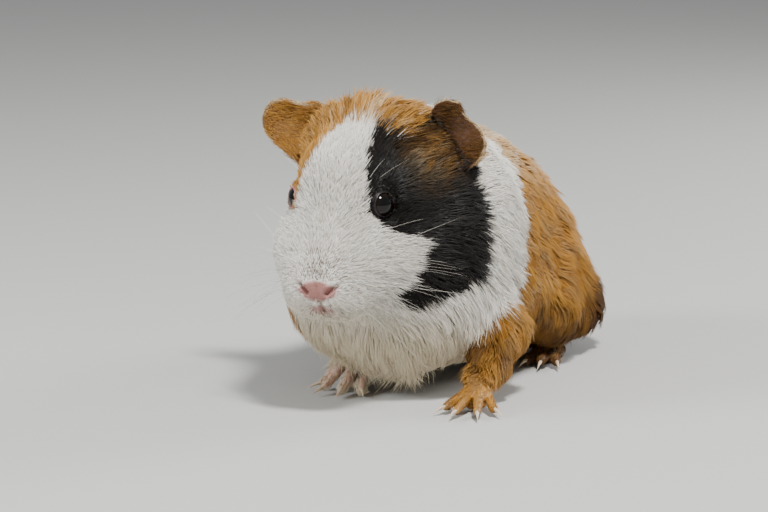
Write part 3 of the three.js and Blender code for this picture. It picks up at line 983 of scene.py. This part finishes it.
def tuft_piece(name, spine, across, width, taper, facts, spots, material, slot):
    places, faces, along, each = blades(spine, across, width, taper)
    mesh = mesh_of(name, places, faces)
    add_attribute(mesh, "along", along)
    for fact, values in facts.items():
        add_attribute(mesh, fact, np.repeat(values, each))
    add_bake_map(mesh, spots, faces, along, each)
    return piece(name, mesh, material, smooth=False)


# ---------------------------------------------------------------- the coat

# For each stretch of the coat: how thickly tufts grow beside the other stretches, a tuft's
# width, how far its lie strays, how strongly neighbouring tips gather into a lock, and how
# many tufts make a lock.
STRETCH_FACTS = ("density", "width", "stray", "gather", "lock")
STRETCHES = {
    "muzzle": (8.0, 0.18, 0.10, 0.08, 8),
    "face": (5.6, 0.22, 0.09, 0.08, 8),
    "neck": (3.0, 0.35, 0.12, 0.5, 15),
    "trunk": (1.8, 0.5, 0.13, 0.65, 28),
    "limbs": (4.5, 0.22, 0.14, 0.3, 8),
    "ears": (7.5, 0.15, 0.14, 0.1, 6),
}
NAMES = list(STRETCHES)
# The hair of the face and of the muzzle grows within these, in the head frame.
FACE = {"across": 26, "behind": -14, "below": -36}
MUZZLE = {"behind": 9.5, "below": -38, "above": -12}
EYE_ROOM = {"wide": 5, "cut": 0.75, "reach": 12}  # where hair is short beside an eye
THINNER = {"ear": 0.45, "toe": 0.65}  # how much less hair grows in an ear and on pale toes
SOLE_LINE = 0.6  # below this height no hair grows

# A tuft's length, how far up through the coat it reaches, and how much of its lift it takes:
# each is drawn from its own range and multiplied by the least and the gain that its lock gives.
LENGTHS = {"own": (0.72, 1.15), "lock": (0.82, 0.36)}
REACHES = {"own": (0.45, 1.0), "lock": (0.72, 0.45)}
LIFTS = {"own": (0.1, 0.6), "lock": (0.5, 1.0)}
WIDTHS = (0.7, 1.25)
HALF_WAY = {"depth": 0.72, "lift": 0.18}  # how much of each a tuft has half way along
SWIRL = {"wave": 14, "strength": 0.16}
SWAY = 0.1  # how far a whole lock strays
GATHERS = (0.5, 1.3)  # a tuft's own gathering is drawn between these shares of its stretch's
LOCK_SPREAD = {"tip": 0.35, "half": 0.7}  # how much of the roots' spacing a lock keeps
HALF_GATHER = 0.4  # how strongly a lock gathers half way along, beside its tips
MINGLING = 0.4  # how far off a tuft's colours may be taken from the skin
GREY_SHARE = 0.62  # how many tufts are grey where the muzzle is greyest
ROOTED = 0.25  # how deep a tuft starts under the skin
FLOOR_GAP = 0.25  # how far above the floor every tuft stays
TUFT_TAPER = np.array([0.75, 1.0, 0.0])  # a tuft's width at its root, half way and tip


def stretch_fact(fact, chosen):
    column = STRETCH_FACTS.index(fact)
    return np.array([facts[column] for facts in STRETCHES.values()])[chosen]


# Which stretch of the coat each place belongs to.
def stretch_at(places, kinds):
    head = to_head(places)
    across, ahead, up = head.T
    muzzle = (ahead > MUZZLE["behind"]) & (up < MUZZLE["above"]) & (up > MUZZLE["below"])
    face = (ahead > FACE["behind"]) & (np.abs(across) < FACE["across"]) & (up > FACE["below"])
    near_head = (kinds == KINDS.index("head")) | (kinds == KINDS.index("neck"))
    chosen = np.full(len(places), NAMES.index("neck"))
    chosen[kinds == KINDS.index("trunk")] = NAMES.index("trunk")
    chosen[near_head & face] = NAMES.index("face")
    chosen[near_head & muzzle] = NAMES.index("muzzle")
    chosen[kinds == KINDS.index("foot")] = NAMES.index("limbs")
    chosen[kinds == KINDS.index("ear")] = NAMES.index("ears")
    return chosen


# What a lock multiplies a range's draws by.
def by_lock(spread, lock):
    least, gain = spread["lock"]
    return least + gain * lock


class Coat:
    def __init__(self, places, faces):
        self.tree = BVHTree.FromPolygons(places.tolist(), faces.tolist())
        corners = places[faces]
        normal = np.cross(corners[:, 1] - corners[:, 0], corners[:, 2] - corners[:, 0])
        area = np.linalg.norm(normal, axis=1) / 2
        centres = corners.mean(1)
        kinds = FACE_KINDS[nearest(SOLIDS, centres)[2]]
        bare, ear = bareness(centres, kinds, unit(normal))
        density = stretch_fact("density", stretch_at(centres, kinds))
        under_foot = centres[:, 2] < SOLE_LINE
        weight = area * density * (1 - bare) * (1 - THINNER["ear"] * ear) * ~under_foot
        weight *= 1 - THINNER["toe"] * toe_mask(centres)
        count = COAT_TUFTS
        face = np.searchsorted(np.cumsum(weight) / weight.sum(), random.random(count))
        face = np.minimum(face, len(faces) - 1)
        u, v = random.random((2, count))
        over = u + v > 1
        u[over], v[over] = 1 - u[over], 1 - v[over]
        a, b, c = corners[face].transpose(1, 0, 2)
        self.root = a + (b - a) * u[:, None] + (c - a) * v[:, None]
        self.normal = unit(normal[face])
        self.kinds = kinds[face]
        self.stretch = stretch_at(self.root, self.kinds)
        self.wider = math.sqrt(FULL_COAT / count)

    # Hair is short beside the lids, so that none of it lies over an eye.
    def eye_room(self):
        room = np.ones(len(self.root))
        for side in SIDES:
            radial, away = eye_gaps(self.root, side)
            near = 1 - smoothstep(OPENINGS[side], OPENINGS[side] + EYE_ROOM["wide"], radial)
            room = np.minimum(room, 1 - EYE_ROOM["cut"] * near * (away < EYE_ROOM["reach"]))
        return room

    def setting(self, fact):
        return stretch_fact(fact, self.stretch)

    # Which tuft leads the lock that each tuft belongs to.
    def find_locks(self):
        leads = np.flatnonzero(random.random(len(self.root)) < 1 / self.setting("lock"))
        locks = KDTree(len(leads))
        for n, lead in enumerate(leads):
            locks.insert(Vector(self.root[lead]), n)
        locks.balance()
        return leads[[locks.find(Vector(spot))[1] for spot in self.root]]

    # The way each tuft lies along the skin: the coat's own, swirled, swayed lock by lock.
    def combed(self, lie, lead):
        count = len(self.root)
        swirl = np.stack([ripple(self.root, SWIRL["wave"], seed) for seed in (21, 22, 23)], 1)
        swirl *= SWIRL["strength"]
        sway = (random.normal(size=(count, 3)) * SWAY)[lead]
        lie = lie + swirl + sway + random.normal(size=(count, 3)) * self.setting("stray")[:, None]
        return unit(lie - (lie * self.normal).sum(1)[:, None] * self.normal)

    # What colours each tuft, from the skin under its middle.
    def marked(self, over, outward, lock):
        count = len(self.root)
        mingled = over + random.normal(size=(count, 3)) * MINGLING
        facts = with_ears(markings(mingled), over, self.kinds, outward)
        facts["grey"] = (random.random(count) < GREY_SHARE * facts["grey"]) * 1.0
        facts["lock"] = lock
        facts["tone"] = 0.5 * random.random(count) + 0.5 * lock
        return facts

    def grow(self):
        count = len(self.root)
        lead = self.find_locks()
        lock = random.random(count)[lead]
        lie, size = coat_at(self.root)
        lie = self.combed(lie, lead)
        length = size[:, 0] * random.uniform(*LENGTHS["own"], count) * by_lock(LENGTHS, lock)
        length *= self.eye_room()
        depth, lift = size[:, 1], size[:, 2]
        reach = random.uniform(*REACHES["own"], count) * by_lock(REACHES, lock)
        over, outward, _ = nearest(self.tree, self.root + lie * length[:, None] * 0.5)
        self.facts = self.marked(over, outward, lock)
        raised = depth * reach * HALF_WAY["depth"] + lift * length * HALF_WAY["lift"]
        half_way = over + outward * raised[:, None]
        onward = unit(lie - (lie * outward).sum(1)[:, None] * outward)
        over, outward, _ = nearest(self.tree, over + onward * length[:, None] * 0.5)
        lifted = lift * length * random.uniform(*LIFTS["own"], count) * by_lock(LIFTS, lock)
        stand = depth * reach + lifted
        tip, half_way = self.gathered(lead, over + outward * stand[:, None], half_way)
        root = self.root - self.normal * ROOTED
        self.spine = np.stack([root, half_way, tip], axis=1)
        self.spine[..., 2] = np.maximum(self.spine[..., 2], FLOOR_GAP)
        self.across = unit(np.cross(self.normal, lie))
        self.width = self.setting("width") * random.uniform(*WIDTHS, count) * self.wider

    # Tips are drawn towards their lock's own tip, so that the coat parts into locks.
    def gathered(self, lead, tip, half_way):
        same = (self.stretch == self.stretch[lead]).astype(float)
        pull = (self.setting("gather") * same * random.uniform(*GATHERS, len(tip)))[:, None]
        apart = self.root - self.root[lead]
        tip_pull = (tip[lead] + apart * LOCK_SPREAD["tip"] - tip) * pull
        half_pull = (half_way[lead] + apart * LOCK_SPREAD["half"] - half_way) * pull * HALF_GATHER
        return tip + tip_pull, half_way + half_pull

    # The joined meshes: a stretch with many tufts is cut up from front to back.
    def pieces(self, coarse, material):
        slots = {"ears": "ear_skin", "trunk": "coat_ginger", "limbs": "coat_ginger"}
        for n, name in enumerate(NAMES):
            members = np.flatnonzero(self.stretch == n)
            members = members[np.argsort(self.root[members, 1] - self.root[members, 2] * 0.2)]
            parts = max(1, math.ceil(len(members) / PIECE_TUFTS))
            for part, chosen in enumerate(np.array_split(members, parts)):
                spots = Unwrap(coarse, self.root[chosen]).at(self.root[chosen])
                facts = {fact: values[chosen] for fact, values in self.facts.items()}
                title = f"coat_{name}_{part + 1}" if parts > 1 else f"coat_{name}"
                shape = (self.spine[chosen], self.across[chosen], self.width[chosen], TUFT_TAPER)
                slot = slots.get(name, "coat_white")
                tuft_piece(title, *shape, facts, spots, material, slot)


# A plain copy of the skin for the unwraps.
def coarse_skin(places, faces):
    return arrays(thinned(mesh_of("coarse", places, faces), COARSE_FACES))


# ---------------------------------------------------------------- whiskers

WHISKER = {"rings": 12, "width": 0.26, "taper": 0.65, "swept": 0.12, "stray": 0.07}
# The whisker pad in the head frame: its first root, the step down from one row to the next,
# and the step back along a row.
PAD = {"first": (7.2, 15.5, -18.5), "down": (0, 0, -2.1), "back": (1.3, -1.1, 0.4)}
PAD_ROWS, PAD_PLACES = 5, 4


# Each whisker: its root and its way in the head frame, its length, and how far it droops. They
# stand in rows on the muzzle, two over each eye and one on each cheek.
def whisker_rows():
    rows = []
    first, down, back = (np.array(step) for step in PAD.values())
    for side in SIDES:
        for line in range(PAD_ROWS):
            for place in range(PAD_PLACES):
                x, f, z = first + down * line + back * place
                root = (SEPTUM + side * x, f, z)
                length = random.uniform(20, 34) + 4 * place
                out = (side * random.uniform(0.75, 1.0), -0.25 - 0.16 * place, 0.28 - 0.17 * line)
                rows.append((root, out, length, random.uniform(0.05, 0.28)))
        for place in range(2):
            root = (side * (11.5 + 1.5 * place), 4.5 - 4 * place, 8.2)
            out = (side * (0.5 + 0.3 * place), 0.25 - 0.4 * place, 0.8)
            rows.append((root, out, random.uniform(9, 14), 0.15))
        rows.append(((side * 16, 2, -8.5), (side * 0.9, -0.3, 0.5), 12, 0.1))
    return rows


def whiskers(material, tree, coarse):
    columns = zip(*whisker_rows())
    roots, ways, lengths, droops = (np.array(column, float) for column in columns)
    roots = nearest(tree, from_head(roots))[0]
    ways = unit(ways @ HEAD_AXES + random.normal(size=roots.shape) * WHISKER["stray"])
    steps = np.linspace(0, 1, WHISKER["rings"])
    run = steps[None, :, None] * lengths[:, None, None]
    spine = roots[:, None, :] + ways[:, None, :] * run
    spine[..., 2] -= droops[:, None] * steps[None] ** 2 * lengths[:, None]
    spine[..., 1] += WHISKER["swept"] * steps[None] ** 2 * lengths[:, None]
    beside = unit(np.cross(ways, [0, 0, 1]))
    taper = 1 - WHISKER["taper"] * steps
    width = np.full(len(roots), WHISKER["width"])
    facts = {"tone": random.random(len(roots))}
    spots = Unwrap(coarse, roots).at(roots)
    tuft_piece("whiskers", spine, beside, width, taper, facts, spots, material, "coat_white")


# ---------------------------------------------------------------- materials


def socket(group, name, kind, default=None, output=False):
    way = "OUTPUT" if output else "INPUT"
    made = group.interface.new_socket(name, in_out=way, socket_type=f"NodeSocket{kind}")
    if default is not None:
        made.default_value = default
    return made


# A mix of two colours; its sockets 0, 6 and 7 are the factor and the two.
def mix_colour(tree, factor, first, second, blend="MIX"):
    mix = tree.nodes.new("ShaderNodeMix")
    mix.data_type = "RGBA"
    mix.blend_type = blend
    for number, value in ((0, factor), (6, first), (7, second)):
        if hasattr(value, "links"):
            tree.links.new(value, mix.inputs[number])
        else:
            mix.inputs[number].default_value = value
    return mix.outputs[2]


def noise(tree, scale, detail=3.0):
    place = tree.nodes.new("ShaderNodeTexCoord")
    made = tree.nodes.new("ShaderNodeTexNoise")
    made.inputs["Scale"].default_value = scale
    made.inputs["Detail"].default_value = detail
    tree.links.new(place.outputs["Object"], made.inputs["Vector"])
    return made.outputs["Fac"]


def ranged(tree, value, low, high, to_low, to_high):
    made = tree.nodes.new("ShaderNodeMapRange")
    limits = {"From Min": low, "From Max": high, "To Min": to_low, "To Max": to_high}
    for name, number in limits.items():
        made.inputs[name].default_value = number
    tree.links.new(value, made.inputs["Value"])
    return made.outputs["Result"]


def attribute(tree, name):
    made = tree.nodes.new("ShaderNodeAttribute")
    made.attribute_name = name
    return made.outputs["Fac"]


COLOURS = {
    "white": (0.90, 0.89, 0.86, 1),
    "shaded white": (0.74, 0.71, 0.64, 1),
    # Warm and darker than the white: partly cream fur, partly painted shade low down.
    "warm": (0.78, 0.68, 0.50, 1),
    "ginger": (0.33, 0.128, 0.011, 1),
    "light ginger": (0.52, 0.27, 0.05, 1),
    "brown": (0.062, 0.025, 0.007, 1),
    "cream": (0.66, 0.52, 0.33, 1),
    "black": (0.004, 0.004, 0.0045, 1),
    "brownish black": (0.013, 0.010, 0.008, 1),
    "grey": (0.20, 0.14, 0.10, 1),
}
ROOT_SHADE = (0.50, 0.43, 0.36, 1)
# What a patchy blush mixes on the bare skin, and on an ear from its root to its thin rim.
BARE = {
    "pink": ((0.25, 0.10, 0.088, 1), (0.37, 0.18, 0.155, 1)),
    "toe": ((0.55, 0.29, 0.22, 1), (0.72, 0.50, 0.41, 1)),
    "ear": ((0.07, 0.027, 0.012, 1), (0.17, 0.068, 0.028, 1)),
}
EAR_BLUSH = (0.095, 0.034, 0.017, 1)
DARK_SKIN = (0.012, 0.009, 0.009, 1)


# The coat's colours from its masks; "Tone" is each hair's own shade.
def coat_colours():
    group = bpy.data.node_groups.new("coat colours", "ShaderNodeTree")
    masks = ["Black", "Ginger", "Brown", "Cream", "Grey", "Warm", "Tone"]
    for name in masks:
        socket(group, name, "Float", 0.0)
    for name, colour in COLOURS.items():
        socket(group, f"{name.capitalize()} hair", "Color", colour)
    socket(group, "Colour", "Color", output=True)
    given = group.nodes.new("NodeGroupInput").outputs
    result = group.nodes.new("NodeGroupOutput").inputs

    def shade(name):
        return given[f"{name.capitalize()} hair"]

    colour = mix_colour(group, given["Tone"], shade("white"), shade("shaded white"))
    colour = mix_colour(group, given["Warm"], colour, shade("warm"))
    ginger = mix_colour(group, given["Tone"], shade("ginger"), shade("light ginger"))
    ginger = mix_colour(group, given["Cream"], ginger, shade("cream"))
    ginger = mix_colour(group, given["Brown"], ginger, shade("brown"))
    black = mix_colour(group, given["Tone"], shade("black"), shade("brownish black"))
    colour = mix_colour(group, given["Grey"], colour, shade("grey"))
    colour = mix_colour(group, given["Ginger"], colour, ginger)
    colour = mix_colour(group, given["Black"], colour, black)
    group.links.new(colour, result["Colour"])
    return group


# A skin's pores and fine creases: a height for bump, and a patchy blush.
def skin_grain():
    group = bpy.data.node_groups.new("skin grain", "ShaderNodeTree")
    socket(group, "Scale", "Float", 900.0)
    socket(group, "Height", "Float", output=True)
    socket(group, "Blush", "Float", output=True)
    given = group.nodes.new("NodeGroupInput").outputs
    result = group.nodes.new("NodeGroupOutput").inputs
    place = group.nodes.new("ShaderNodeTexCoord").outputs["Object"]
    cells = group.nodes.new("ShaderNodeTexVoronoi")
    group.links.new(place, cells.inputs["Vector"])
    group.links.new(given["Scale"], cells.inputs["Scale"])
    group.links.new(cells.outputs["Distance"], result["Height"])
    group.links.new(noise(group, 260), result["Blush"])
    return group


def new_material(name, settings):
    material = bpy.data.materials.new(name)
    material.use_nodes = True
    shader = material.node_tree.nodes["Principled BSDF"]
    for label, value in settings.items():
        shader.inputs[label].default_value = value
    return material, material.node_tree, shader


def placed(tree, group, **values):
    node = tree.nodes.new("ShaderNodeGroup")
    node.node_tree = group
    for name, value in values.items():
        if hasattr(value, "links"):
            tree.links.new(value, node.inputs[name])
        else:
            node.inputs[name].default_value = value
    return node


# The coat's colours, fed by a mesh's own marks.
def marked(tree, colours, tone):
    names = ("black", "ginger", "brown", "cream", "grey", "warm")
    masks = {name.capitalize(): attribute(tree, name) for name in names}
    return placed(tree, colours, Tone=tone, **masks).outputs["Colour"]


def add_bump(tree, shader, height, strength, distance):
    bump = tree.nodes.new("ShaderNodeBump")
    bump.inputs["Strength"].default_value = strength
    bump.inputs["Distance"].default_value = distance
    tree.links.new(height, bump.inputs["Height"])
    tree.links.new(bump.outputs["Normal"], shader.inputs["Normal"])


# Each tuft is dimmer at its root, and shinier in some locks than in others.
def coat_material(colours):
    material, tree, shader = new_material("fur", {"Specular IOR Level": 0.2})
    colour = marked(tree, colours, attribute(tree, "tone"))
    dim = ranged(tree, attribute(tree, "along"), 0, 1, 0.6, 0)
    colour = mix_colour(tree, dim, colour, ROOT_SHADE, "MULTIPLY")
    tree.links.new(colour, shader.inputs["Base Color"])
    rough = ranged(tree, attribute(tree, "lock"), 0, 1, 0.42, 0.62)
    tree.links.new(rough, shader.inputs["Roughness"])
    return material


def skin_material(colours, grain):
    settings = {"Subsurface Weight": 0.12, "Subsurface Scale": 0.002}
    material, tree, shader = new_material("skin under the coat", settings)
    pores = placed(tree, grain, Scale=1100)
    blush = pores.outputs["Blush"]
    furred = marked(tree, colours, ranged(tree, noise(tree, 1500, 1), 0.3, 0.7, 0, 1))
    bare = mix_colour(tree, blush, *BARE["pink"])
    bare = mix_colour(tree, attribute(tree, "black"), bare, DARK_SKIN)
    inner = mix_colour(tree, attribute(tree, "thin"), *BARE["ear"])
    inner = mix_colour(tree, ranged(tree, blush, 0.4, 0.6, 0, 0.5), inner, EAR_BLUSH)
    colour = mix_colour(tree, attribute(tree, "bare"), furred, bare)
    colour = mix_colour(tree, attribute(tree, "ear"), colour, inner)
    colour = mix_colour(tree, attribute(tree, "toe"), colour, mix_colour(tree, blush, *BARE["toe"]))
    tree.links.new(colour, shader.inputs["Base Color"])
    rough = ranged(tree, attribute(tree, "bare"), 0, 1, 0.62, 0.36)
    tree.links.new(rough, shader.inputs["Roughness"])
    add_bump(tree, shader, pores.outputs["Height"], 0.35, 0.0003)
    return material


def whisker_material():
    material, tree, shader = new_material("whisker", {"Roughness": 0.3})
    tone = attribute(tree, "tone")
    colour = mix_colour(tree, tone, (0.86, 0.84, 0.78, 1), (0.7, 0.66, 0.58, 1))
    tree.links.new(colour, shader.inputs["Base Color"])
    return material


def claw_material():
    settings = {"Roughness": 0.35, "Subsurface Weight": 0.15, "Subsurface Scale": 0.001}
    material, tree, shader = new_material("claw horn", settings)
    streak = noise(tree, 700)
    colour = mix_colour(tree, streak, (0.50, 0.36, 0.24, 1), (0.72, 0.60, 0.45, 1))
    tree.links.new(colour, shader.inputs["Base Color"])
    add_bump(tree, shader, streak, 0.2, 0.0002)
    return material


def eye_material():
    settings = {"Roughness": 0.03, "Specular IOR Level": 0.32}
    material, tree, shader = new_material("eye", settings)
    pupil = attribute(tree, "pupil")
    colour = mix_colour(tree, pupil, (0.006, 0.0035, 0.0025, 1), (0.002, 0.002, 0.002, 1))
    tree.links.new(colour, shader.inputs["Base Color"])
    return material


# ---------------------------------------------------------------- the pieces


# The skin piece; the coat grows from its places and faces before those are thinned.
def make_skin(material):
    mesh = refined(voxel_remeshed(skin_form()))
    places, faces = arrays(mesh)
    edges = edges_of(mesh)
    kinds = FACE_KINDS[nearest(SOLIDS, places)[2]]
    places = relaxed(places, edges, 5, 0.35)
    places = with_nose(with_lids(places), faces)
    outward = normals_of(places, faces)
    bare, ear = bareness(places, kinds, outward)
    facts = with_ears(markings(places), places, kinds, outward)
    facts["grey"] = facts["grey"] * 0.3
    facts["thin"] = smoothstep(31, 42, np.abs(to_head(places)[:, 0]))
    facts["bare"] = bare
    facts["ear"] = relaxed(ear * (1 - facts["cream"]), edges, 1, 0.5)
    facts["toe"] = 0.9 * toe_mask(places)
    mesh = mesh_of("skin", places, faces)
    for fact, values in facts.items():
        add_attribute(mesh, fact, values)
    plain = [KINDS.index(kind) for kind in ("foot", "leg", "neck", "trunk")]
    skin = piece("skin", thinned(mesh, SKIN_FACES, np.isin(kinds, plain)), material)
    skin.vertex_groups.clear()
    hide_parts(*FLESH)
    return places, faces


EYEBALL = 0.985  # its radius as a share of the eye solid's, so that the lids close on it
PUPIL = (0.80, 0.86)  # its edge fades between these shares of the way to the eye's front


# A ball turned to look along its socket.
def make_eyes(material):
    for side, eye in EYES.items():
        axis = Vector(eye_axis(side))
        bm = bmesh.new()
        size = {"u_segments": 48, "v_segments": 32, "radius": EYE_RADIUS * EYEBALL * MM}
        bmesh.ops.create_uvsphere(bm, matrix=turned(eye, axis), **size)
        looks = [(corner.co / MM - Vector(eye)).dot(axis) / EYE_RADIUS for corner in bm.verts]
        mesh = from_bmesh(f"eyeball_{SIDES[side]}", bm)
        add_attribute(mesh, "pupil", smoothstep(*PUPIL, np.array(looks)))
        ball = piece(mesh.name, mesh, material)
        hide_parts(f"eye_{SIDES[side]}")


CLAW = {"thick": 0.72, "tip": 0.06, "sides": 12, "cuts": 5, "bend": 2.16, "swell": 0.45}


# A thin horn from root to tip that bends up in its middle and swells near its root.
def add_claw(bm, root, tip):
    way = Vector(tip - root)
    horn = bmesh.new()
    sizes = {"radius1": CLAW["thick"] * MM, "radius2": CLAW["tip"] * MM, "depth": way.length * MM}
    bmesh.ops.create_cone(horn, segments=CLAW["sides"], cap_ends=True, **sizes)
    long_edges = [edge for edge in horn.edges if edge.calc_length() > way.length * MM / 2]
    bmesh.ops.subdivide_edges(horn, edges=long_edges, cuts=CLAW["cuts"])
    bmesh.ops.translate(horn, vec=(0, 0, way.length * MM / 2), verts=horn.verts)
    bmesh.ops.transform(horn, matrix=turned(root, way), verts=horn.verts)
    for corner in horn.verts:
        along = (corner.co / MM - Vector(root)).dot(way) / way.length_squared
        raised = Vector((0, 0, CLAW["bend"] * MM * along * (1 - along)))
        bulge = math.sin(math.pi * min(max(along, 0), 1)) ** 2 * (1 - along)
        axis = Vector(root) * MM + way * MM * along
        corner.co = axis + raised + (corner.co - axis) * (1 + CLAW["swell"] * bulge)
        corner.co.z = max(corner.co.z, 0.05 * MM)
    bmesh.ops.triangulate(horn, faces=horn.faces)
    bm.from_mesh(from_bmesh("horn", horn))


def make_claws(material):
    for end in ("fore", "hind"):
        for side in SIDES.values():
            sole = sole_of(end, side)
            bm = bmesh.new()
            for name in claws_of(end, side):
                root, tip = claw_line(name, sole)
                add_claw(bm, root - unit(tip - root) * 0.5, tip)
            title = f"{end}claws_{side}"
            claws = piece(title, from_bmesh(title, bm), material)
            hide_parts(*claws_of(end, side))


# ---------------------------------------------------------------- the studio

VIEW = {"azimuth": 25, "elevation": 10, "distance": 1.0, "lens": 146.5}
VIEW_TARGET = (9.93, -60.55, 51)
LIT_SPOT = (0, -0.03, 0.04)
# Each light's place, its width, its power and its colour.
LIGHTS = {
    "key": ((0.36, -0.37, 0.9), 0.16, 15, (1, 0.985, 0.96)),
    "fill": ((-0.7, -0.6, 0.55), 0.4, 8, (0.97, 0.99, 1)),
    "rim": ((0.5, 0.76, 0.35), 0.4, 8, (1, 1, 1)),
}
ROOM = {"Color": (0.82, 0.84, 0.85, 1), "Strength": 0.44}
FLOOR = {"Base Color": (0.5, 0.5, 0.485, 1), "Roughness": 0.8}


def aimed(thing, place, target):
    way = Vector(target) - Vector(place)
    thing.rotation_euler = way.to_track_quat("-Z", "Y").to_euler()
    thing.location = place
    bpy.context.scene.collection.objects.link(thing)


def make_camera():
    lens = bpy.data.cameras.new("camera")
    lens.lens = VIEW["lens"]
    lens.sensor_width = 36
    lens.clip_start = 0.01
    turn, rise = math.radians(VIEW["azimuth"]), math.radians(VIEW["elevation"])
    level = math.cos(rise)
    way = Vector((math.sin(turn) * level, -math.cos(turn) * level, math.sin(rise)))
    target = Vector(VIEW_TARGET) * MM
    camera = bpy.data.objects.new("camera", lens)
    aimed(camera, target + way * VIEW["distance"], target)
    bpy.context.scene.camera = camera


def make_lights():
    for name, (place, size, power, colour) in LIGHTS.items():
        lamp = bpy.data.lights.new(name, "AREA")
        lamp.shape = "DISK"
        lamp.size = size
        lamp.energy = power
        lamp.color = colour
        aimed(bpy.data.objects.new(name, lamp), place, LIT_SPOT)
    world = bpy.data.worlds.new("pale room")
    world.use_nodes = True
    for label, value in ROOM.items():
        world.node_tree.nodes["Background"].inputs[label].default_value = value
    bpy.context.scene.world = world


def make_floor():
    bm = bmesh.new()
    bmesh.ops.create_grid(bm, x_segments=1, y_segments=1, size=6)
    floor = bpy.data.objects.new("floor", from_bmesh("floor", bm))
    bpy.context.scene.collection.objects.link(floor)
    floor.data.materials.append(new_material("pale floor", FLOOR)[0])


# ---------------------------------------------------------------- the model

make_camera()
make_lights()
make_floor()
colours = coat_colours()
skin_places, skin_faces = make_skin(skin_material(colours, skin_grain()))
coarse = coarse_skin(skin_places, skin_faces)
coat = Coat(skin_places, skin_faces)
coat.grow()
coat.pieces(coarse, coat_material(colours))
whiskers(whisker_material(), coat.tree, coarse)
make_eyes(eye_material())
make_claws(claw_material())
